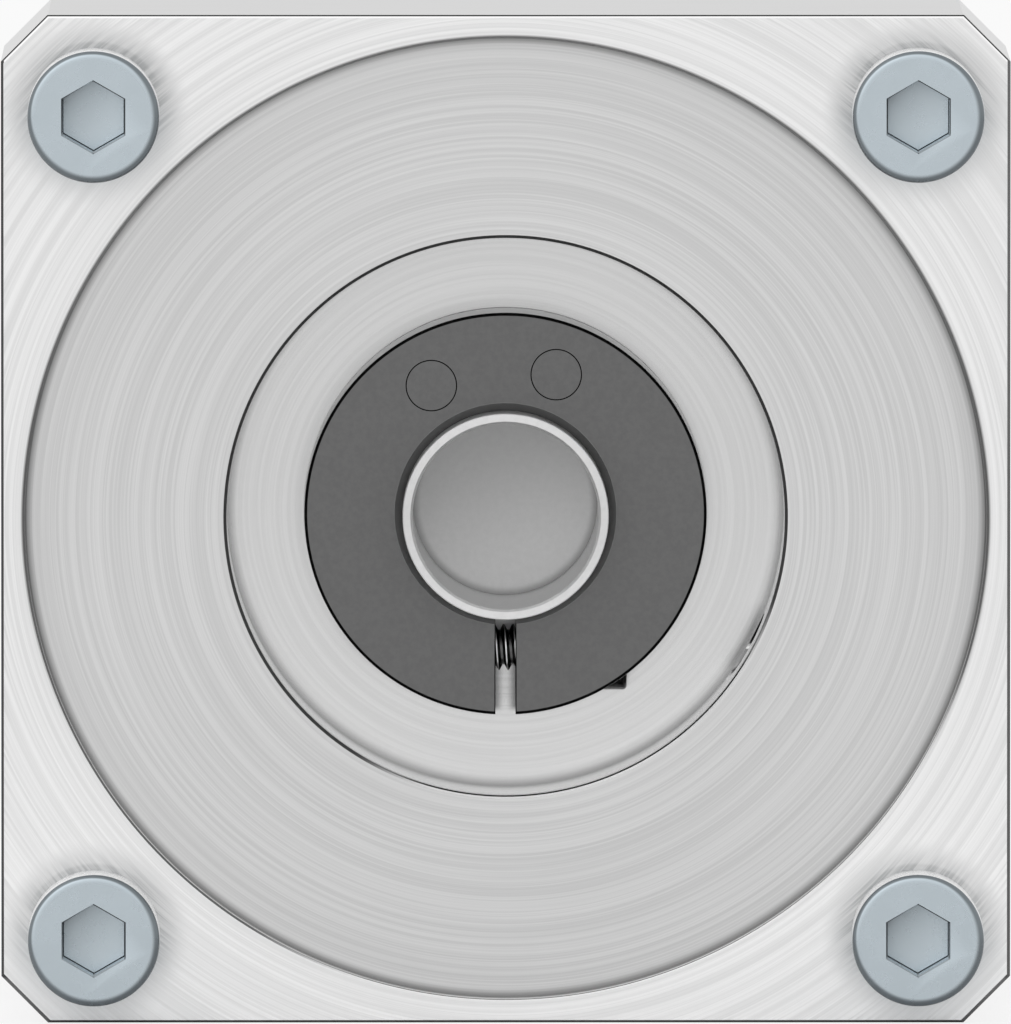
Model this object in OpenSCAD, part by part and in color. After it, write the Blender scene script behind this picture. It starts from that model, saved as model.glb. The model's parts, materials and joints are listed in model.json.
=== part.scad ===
// Cycloidal speed reducer with a square motor adapter.
// Millimetres. The axis of the reducer lies along Y: the motor side faces -Y,
// the output side faces +Y, and +Z is up. The origin is on the axis, in the
// plane of the adapter's front face.

/* [Motor adapter] */
// Width of the square adapter across its flats
flange_w = 65; // [64:0.5:80]
// Adapter length, from its front face to its joint with the ring housing
adapter_len = 22.5; // [22:0.5:28]
// Chamfer on the four long corners
corner_chamfer = 3; // [1:0.5:5]
// Small bevel round the front and rear outlines
edge_bevel = 0.2; // [0.1:0.05:0.5]
// Diameter of the recess that centres the motor
pilot_d = 62; // [52:0.5:62.5]
// Depth of that recess
pilot_depth = 2.5; // [1.5:0.25:3.5]
// Diameter of the chamber round the clamp ring
chamber_d = 36; // [34:0.5:44]
// Depth of the chamber below the recess floor
chamber_depth = 10; // [9:0.25:11]
// Wall between the chamber and the input seal
web_t = 2.5; // [1.5:0.25:3.5]
// Diameter of the hole for the key that turns the clamp screw
key_hole_d = 4.4; // [3.5:0.1:5]

/* [Adapter screws] */
// Circle of the four corner screws
screw_pcd = 75; // [74:0.5:77]
// How far the centre of that circle lies below the axis
screw_drop = 0.36; // [0:0.02:0.5]
// Thread diameter
screw_d = 5; // [4:0.5:5.5]
// Length under the head
screw_len = 30; // [26:1:30]
// Head diameter
screw_head_d = 8.5; // [8:0.25:9.5]
// Head height
screw_head_h = 5; // [4:0.25:6]
// Width across the flats of the hexagon socket
screw_key = 4; // [3:0.5:5]

/* [Clamp ring] */
// Outside diameter
clamp_d = 26; // [25:0.5:30]
// Length along the axis
clamp_len = 6.3; // [6.1:0.1:7]
// Width of the slit
clamp_slit = 1.3; // [0.8:0.1:2]
// Chamfer at both ends of its bore
clamp_bore_chamfer = 0.5; // [0.2:0.1:0.8]
// Thread diameter of the clamp screw
clamp_screw_d = 3; // [2.5:0.1:3]
// Head diameter of the clamp screw
clamp_head_d = 5.5; // [5:0.1:5.6]
// Head length of the clamp screw
clamp_head_h = 3; // [2:0.25:3]
// Distance from the axis of the reducer to the clamp screw
clamp_screw_drop = 8.8; // [8.5:0.1:9]
// Diameter of the balance plugs
plug_d = 3.2; // [2:0.1:3.4]
// Depth of the balance plugs
plug_depth = 4; // [2:0.5:5]

/* [Input shaft] */
// Bore for the motor shaft
shaft_bore_d = 12; // [8:0.5:12.4]
// Outside diameter of the sleeve under the clamp ring
sleeve_d = 13.3; // [13:0.1:14]
// How far the sleeve stands out in front of the clamp ring
sleeve_proud = 3.4; // [2:0.2:3.4]
// Depth of the bore from the front of the sleeve
shaft_bore_depth = 16.5; // [14:0.25:19]
// How far the two eccentrics lie off the axis
eccentricity = 1; // [0.8:0.05:1.1]
// Diameter of the eccentrics
cam_d = 12.8; // [12.4:0.1:13]

/* [Cycloid stage] */
// Number of ring pins; the discs have one lobe fewer
ring_pin_count = 16; // [14:2:18]
// Radius of the circle of ring pins
ring_pin_circle_r = 22.5; // [22.2:0.1:22.7]
// Diameter of a ring pin
ring_pin_d = 4; // [3.4:0.1:4.2]
// Thickness of a cycloid disc
disc_t = 6; // [4:0.5:8]
// Gap between the two discs
disc_gap = 1; // [0.8:0.1:2]
// Running clearance between a disc and the pins
disc_play = 0.06; // [0.05:0.005:0.1]
// Diameter of the rollers between an eccentric and its disc
cam_roller_d = 2.2; // [1.6:0.1:2.4]
// Rollers in each of those rows
cam_roller_count = 20; // [12:1:20]

/* [Output pins] */
// Number of output pins
output_pin_count = 8; // [6:1:8]
// Radius of their circle
output_pin_circle_r = 14; // [13.8:0.1:14.2]
// Diameter of an output pin
output_pin_d = 4; // [3:0.25:4.5]
// Outside diameter of the roller on each pin
output_roller_d = 6; // [5.5:0.1:6.2]

/* [Housings] */
// Thickness of the ring housing's square flange
ring_flange_t = 8; // [6:0.5:10]
// How much smaller that flange is than the adapter, on each side
ring_flange_step = 0.5; // [0:0.25:1]
// Diameter of the round barrel
barrel_d = 60; // [60:0.5:63]
// Length of the adapter's spigot in the ring housing
spigot_len = 3.2; // [3:0.1:4]
// Circle of the screws that join the ring housing and the output housing
joint_pcd = 54; // [53.6:0.1:54.6]
// How far the pilot boss stands out of the rear face
boss_len = 2.5; // [1.5:0.25:3.5]
// Diameter of the rear pilot boss
boss_d = 46; // [45:0.5:46.5]
// Circle of the four tapped holes in the rear face
rear_pcd = 52; // [51:0.25:53]
// Radius of those tapped holes
rear_hole_r = 2.1; // [1.6:0.1:2.2]
// Depth of those tapped holes
rear_hole_depth = 12; // [8:0.5:14]

/* [Output carrier] */
// Thickness of the plate that holds the output pins
carrier_plate_t = 5; // [4:0.25:6]
// Diameter of that plate
carrier_plate_d = 44; // [42:0.25:44.25]
// How far the output face stands out of the pilot boss
output_proud = 3; // [1:0.25:5]
// Circle of the tapped holes in the output face
output_pcd = 22; // [20:0.5:23]
// Number of those holes
output_hole_count = 6; // [4:1:6]
// Radius of those holes
output_hole_r = 1.65; // [1.25:0.05:1.8]
// Depth of those holes
output_hole_depth = 10; // [6:0.5:12]
// Diameter of the pilot bore in the output face
output_pilot_d = 12; // [8:0.5:14]
// Depth of that pilot bore
output_pilot_depth = 5; // [3:0.5:6]

/* [Ball bearings] */
// Bore of the input bearing
input_bearing_bore = 17; // [17:0.5:17.5]
// Outside diameter of the input bearing
input_bearing_od = 26; // [25.5:0.5:28]
// Width of the input bearing
input_bearing_w = 5; // [4:0.5:6]
// Bore of the rear shaft bearing
rear_bearing_bore = 12; // [11.5:0.5:12.5]
// Outside diameter of the rear shaft bearing
rear_bearing_od = 21; // [20.5:0.5:22]
// Width of the rear shaft bearing
rear_bearing_w = 5; // [4:0.5:6]
// Ball diameter in both of them
small_ball_d = 2.38; // [1.8:0.1:2.5]
// Bore of the two main bearings
main_bearing_bore = 30; // [29:0.5:30.5]
// Outside diameter of the two main bearings
main_bearing_od = 42; // [41.5:0.5:43]
// Width of one main bearing
main_bearing_w = 7; // [6:0.5:9]
// Ball diameter in the main bearings
main_ball_d = 3.5; // [2.8:0.1:3.7]

/* [Hidden] */
$fn = 96;

// Clearances: between fixed pieces, and between pieces that run on each other
seat = 0.01;
play = 0.03;
ball_play = 0.06;
// Extra length of a cutting tool past the face that it opens, and of a cone's wide end
over = 1;
hair = 0.001;

// Ball bearings as [bore, outside diameter, width, ball diameter, balls]
input_bearing = [input_bearing_bore, input_bearing_od, input_bearing_w, small_ball_d, 15];
rear_bearing = [rear_bearing_bore, rear_bearing_od, rear_bearing_w, small_ball_d, 11];
main_bearing = [main_bearing_bore, main_bearing_od, main_bearing_w, main_ball_d, 18];
BORE = 0;
OUTSIDE = 1;
WIDTH = 2;
BALL = 3;
COUNT = 4;
function pitch_r(b) = (b[BORE] + b[OUTSIDE]) / 4;

// Shaft seals and circlips
input_seal_t = 3;
output_seal_t = 4;
seal_web_t = 1;
seal_case_t = 0.9;
seal_lip_t = 1.1;
seal_lip_edge = 0.4;
input_circlip_t = 1.2;
rear_circlip_t = 1;
housing_circlip_t = 1.75;
output_circlip_t = 1.5;
circlip_bite = 0.6;
circlip_band = 1.9;
circlip_gap = 30;
eye_angle = 6;
eye_hole_share = 0.45;
input_eye_r = 1.2;
rear_eye_r = 0.8;
rear_circlip_band = 1.4;
housing_eye_r = 1.4;
output_eye_r = 1.2;

// Small gaps and chamfers that more than one piece uses
fine_chamfer = 0.2;
shaft_chamfer = 0.3;
bearing_in_adapter = 0.5;
boss_cover = 0.5;
end_gap = 0.2;

// Stations along the axis, from the motor side to the output side
y_pilot = pilot_depth;
y_chamber = y_pilot + chamber_depth;
y_seat = y_chamber + web_t;
y_input_bearing = y_seat + input_seal_t;
y_input_circlip = y_input_bearing + input_bearing[WIDTH];
y_joint = max(adapter_len, y_input_circlip - bearing_in_adapter);
y_spigot = y_joint + spigot_len;
disc_end_gap = 0.3;
y_disc_a = y_spigot + disc_end_gap;
y_disc_b = y_disc_a + disc_t + disc_gap;
y_disc_end = y_disc_b + disc_t;
carrier_gap = 1;
y_output_housing = y_disc_end + carrier_gap;
rear_bearing_inset = 1;
y_rear_bearing = y_output_housing + rear_bearing_inset;
y_plate_end = y_output_housing + carrier_plate_t;
lip_t = 1;
lip_gap = 0.5;
y_lip = y_plate_end + lip_gap;
y_main_bearing = y_lip + lip_t;
main_bearing_count = 2;
y_main_end = y_main_bearing + main_bearing_count * main_bearing[WIDTH];
seal_gap = 1;
y_output_seal = y_main_end + max(housing_circlip_t, output_circlip_t) + seal_gap;
y_boss_end = y_output_seal + output_seal_t + boss_cover;
y_rear_face = y_boss_end - boss_len;
y_output_face = y_boss_end + output_proud;

// Clamp ring and sleeve
clamp_floor_gap = 0.2;
y_clamp_end = y_chamber - clamp_floor_gap;
y_clamp = y_clamp_end - clamp_len;
y_clamp_mid = y_clamp + clamp_len / 2;
y_sleeve = y_clamp - sleeve_proud;
y_bore_floor = y_sleeve + shaft_bore_depth;
clamp_head_x = 7.83;
clamp_seat_x = clamp_head_x - clamp_head_h;
clamp_screw_len = 12;
clamp_screw_key = 2.5;
clamp_head_gap = 0.05;
plug_inset = 0.25;
plug_circle_r = (clamp_d / 2 + sleeve_d / 2) / 2 - plug_inset;
plug_angles = [70, 120];

// Adapter: its screws, its spigot, the ring in the spigot's groove and the hole in its web
screw_places = [for (at = bolt_circle(screw_pcd / 2, 4, 45)) [at[0], at[1] - screw_drop]];
spigot_play = 0.05;
o_ring_w = 1.6;
o_ring_depth = 1;
web_play = 0.7;

// Shaft steps
journal_r = input_bearing[BORE] / 2;
journal_shoulder = 1.1;
shoulder_r = journal_r + journal_shoulder;
sleeve_chamfer = 0.25;
bore_chamfer = 0.15;
neck_len = 1;
rear_journal_r = rear_bearing[BORE] / 2;
cam_r = cam_d / 2;
cam_roller_r = cam_roller_d / 2;
cam_roller_circle_r = cam_r + cam_roller_r + play;
disc_bore_r = cam_roller_circle_r + cam_roller_r + play;
waist_step = 0.3;
waist_r = cam_r - eccentricity - waist_step;
washer_cover = 0.7;
washer_play = 0.1;
washer_out_r = cam_roller_circle_r + cam_roller_r * washer_cover;
shaft_end_len = 0.8;
y_shaft_end = y_rear_bearing + rear_bearing[WIDTH] + rear_circlip_t + shaft_end_len;

// Discs
ring_pin_r = ring_pin_d / 2;
lobes = ring_pin_count - 1;
lobe_points = 18;
crowding = 0.7;
first_pin_angle = 180 / ring_pin_count;
pin_proud = 0.1;
roller_proud = 0.5;
output_hole_in_disc_r = output_roller_d / 2 + eccentricity + disc_play;
pin_pocket_step = 0.25;
housing_bore_r = ring_pin_circle_r + pin_pocket_step;
spigot_r = housing_bore_r - spigot_play;
barrel_r = barrel_d / 2;
plate_play = 0.4;
plate_bore_r = carrier_plate_d / 2 + plate_play;
neck_r = main_bearing[BORE] / 2;
bearing_bore_r = main_bearing[OUTSIDE] / 2;
bearing_step = 1.5;
rear_chamfer = 1;
face_chamfer = 0.5;
shaft_end_space = 0.7;
seat_step = 2;

// Screws that join the two housings, with their heads under the adapter
joint_screw_d = 3;
joint_head_d = 5.5;
joint_head_h = 3;
joint_key = 2.5;
joint_screw_count = 8;
joint_screw_angle = 180 / joint_screw_count;
joint_sink = joint_head_h + 0.3;
joint_screw_grip = 6;
joint_drill_tip = 1;
y_joint_seat = y_joint + joint_sink;
joint_screw_len = y_output_housing - y_joint_seat + joint_screw_grip;
dowel_d = 3;
dowel_len = 10;
dowel_angles = [0, 180];
clear_hole = 0.3;

// Screws: rounding of a head, bevel of a tip and depth of a socket, as shares
head_round_share = 0.06;
tip_share = 0.12;
socket_share = 0.55;

// Ball bearings: the shoulders of the races, the cage's band and its edges
race_share = 0.26;
cage_share = 0.15;
cage_edge = 0.45;
ring_chamfer = 0.1;

// ---------------------------------------------------------------- helpers

// A solid of revolution about the axis, from [radius, station] points
module turned(profile) {
    rotate([-90, 0, 0]) rotate_extrude() polygon(profile);
}

// A straight bar of an outline drawn in X and Z, from one station to another
module bar(y0, y1) {
    translate([0, y1, 0]) rotate([90, 0, 0]) linear_extrude(y1 - y0) children();
}

// A round bar along the axis, at a place in X and Z
module rod(y0, y1, r, at = [0, 0]) {
    translate([at[0], y0, at[1]]) rotate([-90, 0, 0]) cylinder(r = r, h = y1 - y0);
}

// A cone frustum along the axis
module taper(y0, y1, r0, r1, at = [0, 0]) {
    translate([at[0], y0, at[1]]) rotate([-90, 0, 0]) cylinder(r1 = r0, r2 = r1, h = y1 - y0);
}

// A ring with a rectangular section and small bevels on its outer edges
function ring_section(r0, r1, y0, y1, c = fine_chamfer) = [
    [r0, y0], [r1 - c, y0], [r1, y0 + c], [r1, y1 - c], [r1 - c, y1], [r0, y1]
];

function polar(r, angle) = [r * cos(angle), r * sin(angle)];

// Places of a bolt circle in X and Z
function bolt_circle(r, count, start = 0) = [
    for (i = [0 : count - 1]) polar(r, start + i * 360 / count)
];

// A square flange with its corners cut off by c, and bevelled by b round its front and
// rear outlines: the part that four bevelled bars across the axis have in common
module bevelled_flange(w, c, y0, y1, b) {
    intersection_for(angle = [0, 45, 90, 135]) {
        h = angle % 90 == 0 ? w / 2 : (w - c) / sqrt(2);
        rotate([0, angle, 0]) linear_extrude(2 * w, center = true) polygon([
            [b - h, y0], [h - b, y0], [h, y0 + b], [h, y1 - b],
            [h - b, y1], [b - h, y1], [-h, y1 - b], [-h, y0 + b]
        ]);
    }
}

// Rounded socket-head cap screw; its head stands in front of station y0
module cap_screw(at, y0, d, length, head_d, head_h, key) {
    round_r = head_d * head_round_share;
    tip = d * tip_share;
    translate([at[0], y0, at[1]]) difference() {
        rotate([-90, 0, 0]) rotate_extrude() union() {
            polygon([
                [0, -head_h], [head_d / 2 - round_r, -head_h], [head_d / 2, round_r - head_h],
                [head_d / 2, 0], [d / 2, 0], [d / 2, length - tip], [d / 2 - tip, length],
                [0, length]
            ]);
            translate([head_d / 2 - round_r, round_r - head_h]) circle(r = round_r);
        }
        translate([0, -head_h - over, 0]) rotate([-90, 90, 0])
            cylinder(r = key / sqrt(3), h = head_h * socket_share + over, $fn = 6);
    }
}

// Parts of a deep-groove ball bearing; its front face is at station y
module race_groove(b, y) {
    rotate([-90, 0, 0]) translate([0, 0, y + b[WIDTH] / 2]) rotate_extrude()
        translate([pitch_r(b), 0]) circle(r = b[BALL] / 2 + ball_play);
}

module bearing_outer(b, y) {
    inner = pitch_r(b) + b[BALL] * race_share;
    difference() {
        turned(ring_section(inner, b[OUTSIDE] / 2 - seat, y + seat, y + b[WIDTH] - seat));
        race_groove(b, y);
    }
}

module bearing_inner(b, y) {
    outer = pitch_r(b) - b[BALL] * race_share;
    difference() {
        turned(ring_section(b[BORE] / 2 + seat, outer, y + seat, y + b[WIDTH] - seat,
                            ring_chamfer));
        race_groove(b, y);
    }
}

function ball_places(b) = bolt_circle(pitch_r(b), b[COUNT], 90);

module bearing_balls(b, y) {
    for (at = ball_places(b))
        translate([at[0], y + b[WIDTH] / 2, at[1]]) sphere(r = b[BALL] / 2);
}

module bearing_cage(b, y) {
    half_band = b[BALL] * cage_share;
    half_width = b[BALL] / 2 + cage_edge;
    mid = y + b[WIDTH] / 2;
    r = pitch_r(b);
    difference() {
        turned([
            [r - half_band, mid - half_width], [r + half_band, mid - half_width],
            [r + half_band, mid + half_width], [r - half_band, mid + half_width]
        ]);
        for (i = [0 : b[COUNT] - 1])
            translate([0, mid, 0]) rotate([0, -i * 360 / b[COUNT], 0])
                translate([0, 0, r - b[BALL]]) cylinder(r = b[BALL] / 2 + play, h = 2 * b[BALL]);
    }
}

// A circlip: an open band with an eye at each end
module circlip(y, t, r0, r1, eye_r, eye_circle_r) {
    half = circlip_gap / 2;
    bar(y + seat, y + t - seat) difference() {
        union() {
            circle(r = r1);
            for (side = [-1, 1]) translate(polar(eye_circle_r, 90 + side * (half + eye_angle)))
                circle(r = eye_r, $fn = 32);
        }
        circle(r = r0);
        polygon([[0, 0], polar(3 * r1, 90 - half), polar(3 * r1, 90 + half)]);
        for (side = [-1, 1]) translate(polar(eye_circle_r, 90 + side * (half + eye_angle)))
            circle(r = eye_r * eye_hole_share, $fn = 24);
    }
}

// A lip seal: an outer case with a web and a lip that runs on the shaft
module lip_seal(y, t, r_shaft, r_bore) {
    lip_r = r_shaft + seal_lip_t;
    turned([
        [r_bore - seat, y + seat], [r_bore - seat, y + t - seat],
        [r_bore - seal_case_t, y + t - seat], [r_bore - seal_case_t, y + seal_web_t],
        [lip_r + seal_lip_edge, y + seal_web_t], [lip_r, y + t * 3 / 4],
        [r_shaft + seal_lip_edge, y + t * 3 / 4], [r_shaft + play, y + t / 2],
        [r_shaft + seal_lip_edge, y + seat]
    ]);
}

// One flank-to-flank outline of a cycloid disc. A valley points along +X.
function cycloid_point(a) =
    let (
        n = ring_pin_count,
        e = eccentricity,
        big_r = ring_pin_circle_r,
        pin = ring_pin_r + disc_play,
        turn = atan2(sin((1 - n) * a), big_r / (e * n) - cos((1 - n) * a))
    ) [
        big_r * cos(a) - pin * cos(a + turn) - e * cos(n * a),
        pin * sin(a + turn) + e * sin(n * a) - big_r * sin(a)
    ];

// The points crowd towards the tips, where the outline is traced fastest
function cycloid_outline() = [
    for (i = [0 : lobes * lobe_points - 1])
        let (a = -i * 360 / (lobes * lobe_points))
            cycloid_point(a - crowding * sin(lobes * a) / lobes * 180 / PI)
];

// A disc whose centre lies off the axis towards the given angle, in mesh with the pins
module cycloid_disc(y, toward) {
    translate([eccentricity * cos(toward), 0, eccentricity * sin(toward)]) difference() {
        bar(y, y + disc_t) rotate([0, 0, toward - 180 / lobes]) polygon(cycloid_outline());
        rod(y - over, y + disc_t + over, disc_bore_r);
        for (at = bolt_circle(output_pin_circle_r, output_pin_count))
            rod(y - over, y + disc_t + over, output_hole_in_disc_r, at);
    }
}

module cam_rollers(y, toward) {
    centre = polar(eccentricity, toward);
    for (at = bolt_circle(cam_roller_circle_r, cam_roller_count, toward))
        rod(y + end_gap, y + disc_t - end_gap, cam_roller_r, centre + at);
}

// ---------------------------------------------------------------- motor side

module motor_adapter() {
    seat_r = input_bearing[OUTSIDE] / 2;
    groove_r = seat_r + circlip_bite;
    o_ring_y = y_joint + spigot_len / 2;
    color("lightgray") difference() {
        union() {
            bevelled_flange(flange_w, corner_chamfer, 0, y_joint, edge_bevel);
            turned(ring_section(seat_r, spigot_r, y_joint - over, y_spigot));
        }
        rod(-over, y_pilot, pilot_d / 2);
        rod(0, y_chamber, chamber_d / 2);
        taper(y_pilot - hair, y_pilot + edge_bevel, chamber_d / 2 + edge_bevel, chamber_d / 2);
        rod(0, y_spigot, journal_r + web_play);
        rod(y_seat, y_spigot + over, seat_r);
        rod(y_input_circlip, y_input_circlip + input_circlip_t, groove_r);
        rotate([-90, 0, 0]) translate([0, 0, o_ring_y - o_ring_w / 2]) difference() {
            cylinder(r = spigot_r + over, h = o_ring_w);
            cylinder(r = spigot_r - o_ring_depth, h = o_ring_w);
        }
        for (at = screw_places)
            rod(-over, y_joint + over, (screw_d + clear_hole) / 2, at);
        translate([0, y_clamp_mid, -clamp_screw_drop]) rotate([0, 90, 0])
            cylinder(r = key_hole_d / 2, h = flange_w);
    }
}

module adapter_o_ring() {
    color("black") rotate([-90, 0, 0]) translate([0, 0, y_joint + spigot_len / 2])
        rotate_extrude() translate([spigot_r - o_ring_depth / 2, 0])
            circle(r = o_ring_depth / 2 - seat);
}

module adapter_screws() {
    color("silver") for (at = screw_places)
        cap_screw(at, 0, screw_d, screw_len, screw_head_d, screw_head_h, screw_key);
}

module input_seal() {
    color("dimgray") lip_seal(y_seat, input_seal_t, journal_r, input_bearing[OUTSIDE] / 2);
}

module input_bearing_outer_ring() {
    color("gainsboro") bearing_outer(input_bearing, y_input_bearing);
}

module input_bearing_inner_ring() {
    color("gainsboro") bearing_inner(input_bearing, y_input_bearing);
}

module input_bearing_balls() {
    color("silver") bearing_balls(input_bearing, y_input_bearing);
}

module input_bearing_cage() {
    color("goldenrod") bearing_cage(input_bearing, y_input_bearing);
}

module input_circlip() {
    r1 = input_bearing[OUTSIDE] / 2 + circlip_bite - seat;
    color("dimgray") circlip(y_input_circlip, input_circlip_t, r1 - circlip_band, r1,
                             input_eye_r, r1 - input_eye_r - shaft_chamfer);
}

// ---------------------------------------------------------------- input shaft

// The sleeve, the bearing journal, two eccentrics half a turn apart and the rear journal
module eccentric_shaft() {
    y_journal = y_chamber + neck_len;
    color("whitesmoke") difference() {
        union() {
            turned([
                [0, y_sleeve], [sleeve_d / 2 - sleeve_chamfer, y_sleeve],
                [sleeve_d / 2, y_sleeve + sleeve_chamfer], [sleeve_d / 2, y_journal],
                [journal_r - shaft_chamfer, y_journal], [journal_r, y_journal + shaft_chamfer],
                [journal_r, y_input_circlip],
                [shoulder_r, y_input_circlip], [shoulder_r, y_disc_a - play],
                [waist_r, y_disc_a - play], [waist_r, y_disc_end],
                [0, y_disc_end]
            ]);
            rod(y_disc_a, y_disc_a + disc_t, cam_r, polar(eccentricity, 90));
            rod(y_disc_b, y_disc_end, cam_r, polar(eccentricity, 270));
            turned([
                [0, y_disc_end - over], [waist_r, y_disc_end - over], [waist_r, y_disc_end],
                [rear_journal_r, y_disc_end + shaft_chamfer],
                [rear_journal_r, y_shaft_end - shaft_chamfer],
                [rear_journal_r - shaft_chamfer, y_shaft_end], [0, y_shaft_end]
            ]);
        }
        rod(y_sleeve - over, y_bore_floor, shaft_bore_d / 2);
        taper(y_sleeve - hair, y_sleeve + bore_chamfer,
              shaft_bore_d / 2 + bore_chamfer, shaft_bore_d / 2);
        translate([0, y_rear_bearing + rear_bearing[WIDTH], 0]) rotate([-90, 0, 0]) difference() {
            cylinder(r = rear_journal_r + over, h = rear_circlip_t);
            cylinder(r = rear_journal_r - circlip_bite, h = rear_circlip_t);
        }
    }
}

// A split collar, with its slit at the bottom and its screw across the slit
module clamp_ring() {
    r = clamp_d / 2;
    bore_r = sleeve_d / 2 + seat;
    c = clamp_bore_chamfer;
    color("dimgray") difference() {
        turned([
            [bore_r + c, y_clamp], [r - fine_chamfer, y_clamp], [r, y_clamp + fine_chamfer],
            [r, y_clamp_end - fine_chamfer], [r - fine_chamfer, y_clamp_end],
            [bore_r + c, y_clamp_end],
            [bore_r, y_clamp_end - c], [bore_r, y_clamp + c]
        ]);
        translate([-clamp_slit / 2, y_clamp - over, -r - over])
            cube([clamp_slit, clamp_len + 2 * over, r + over]);
        translate([0, y_clamp_mid, -clamp_screw_drop]) rotate([0, 90, 0]) {
            translate([0, 0, -clamp_d]) cylinder(r = clamp_screw_d / 2 + seat, h = 2 * clamp_d);
            translate([0, 0, clamp_seat_x]) cylinder(r = clamp_head_d / 2 + clamp_head_gap, h = clamp_d);
        }
        for (a = plug_angles)
            rod(y_clamp - over, y_clamp + plug_depth, plug_d / 2, polar(plug_circle_r, a));
    }
}

module clamp_screw() {
    color("black") translate([clamp_seat_x + seat, y_clamp_mid, -clamp_screw_drop])
        rotate([0, 0, 90])
            cap_screw([0, 0], 0, clamp_screw_d, clamp_screw_len, clamp_head_d, clamp_head_h,
                      clamp_screw_key);
}

module balance_plugs() {
    color("slategray") for (a = plug_angles)
        rod(y_clamp, y_clamp + plug_depth, plug_d / 2 - seat, polar(plug_circle_r, a));
}

// A thin ring between the two eccentrics that keeps their rollers apart
module cam_washer() {
    color("silver") turned(ring_section(cam_r + washer_play, washer_out_r,
                                        y_disc_a + disc_t + play, y_disc_b - play, ring_chamfer));
}

module rear_spacer() {
    r_in = rear_journal_r + seat;
    step_r = pitch_r(rear_bearing) - rear_bearing[BALL] * race_share;
    color("silver") turned([
        [r_in, y_disc_end + play], [washer_out_r, y_disc_end + play],
        [washer_out_r, y_output_housing], [step_r, y_output_housing],
        [step_r, y_rear_bearing - seat], [r_in, y_rear_bearing - seat]
    ]);
}

module rear_bearing_inner_ring() {
    color("gainsboro") bearing_inner(rear_bearing, y_rear_bearing);
}

module rear_bearing_outer_ring() {
    color("gainsboro") bearing_outer(rear_bearing, y_rear_bearing);
}

module rear_bearing_balls() {
    color("silver") bearing_balls(rear_bearing, y_rear_bearing);
}

module rear_bearing_cage() {
    color("goldenrod") bearing_cage(rear_bearing, y_rear_bearing);
}

module rear_circlip() {
    r0 = rear_journal_r - circlip_bite + seat;
    color("dimgray") circlip(y_rear_bearing + rear_bearing[WIDTH], rear_circlip_t, r0,
                             r0 + rear_circlip_band, rear_eye_r, r0 + rear_eye_r + shaft_chamfer);
}

// ---------------------------------------------------------------- cycloid stage

module cam_rollers_a() { color("silver") cam_rollers(y_disc_a, 90); }

module cam_rollers_b() { color("silver") cam_rollers(y_disc_b, 270); }

module cycloid_disc_a() { color("lightsteelblue") cycloid_disc(y_disc_a, 90); }

module cycloid_disc_b() { color("lightsteelblue") cycloid_disc(y_disc_b, 270); }

module ring_pins() {
    color("silver") for (at = bolt_circle(ring_pin_circle_r, ring_pin_count, first_pin_angle))
        rod(y_spigot + seat, y_output_housing - seat, ring_pin_r, at);
}

// A square flange and a round barrel, with a half-round pocket for each ring pin
module ring_housing() {
    color("darkgray") difference() {
        union() {
            bevelled_flange(flange_w - 2 * ring_flange_step, corner_chamfer, y_joint,
                            y_joint + ring_flange_t, edge_bevel);
            turned(ring_section(0, barrel_r, y_joint + over, y_output_housing));
        }
        rod(y_joint - over, y_output_housing + over, housing_bore_r);
        for (at = bolt_circle(ring_pin_circle_r, ring_pin_count, first_pin_angle))
            rod(y_spigot, y_output_housing + over, ring_pin_r + seat, at);
        for (at = screw_places)
            rod(y_joint - over, y_joint + ring_flange_t + over, screw_d / 2 + seat, at);
        for (at = bolt_circle(joint_pcd / 2, joint_screw_count, joint_screw_angle)) {
            rod(y_joint - over, y_joint_seat, (joint_head_d + clear_hole) / 2, at);
            rod(y_joint, y_output_housing + over, (joint_screw_d + clear_hole) / 2, at);
        }
        for (a = dowel_angles)
            rod(y_output_housing - dowel_len / 2, y_output_housing + over, dowel_d / 2 + seat,
                polar(joint_pcd / 2, a));
    }
}

module joint_screws() {
    color("dimgray") for (at = bolt_circle(joint_pcd / 2, joint_screw_count, joint_screw_angle))
        cap_screw(at, y_joint_seat, joint_screw_d, joint_screw_len, joint_head_d, joint_head_h,
                  joint_key);
}

module joint_dowels() {
    color("silver") for (a = dowel_angles)
        rod(y_output_housing - dowel_len / 2 + seat, y_output_housing + dowel_len / 2 - seat,
            dowel_d / 2, polar(joint_pcd / 2, a));
}

// ---------------------------------------------------------------- output side

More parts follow.
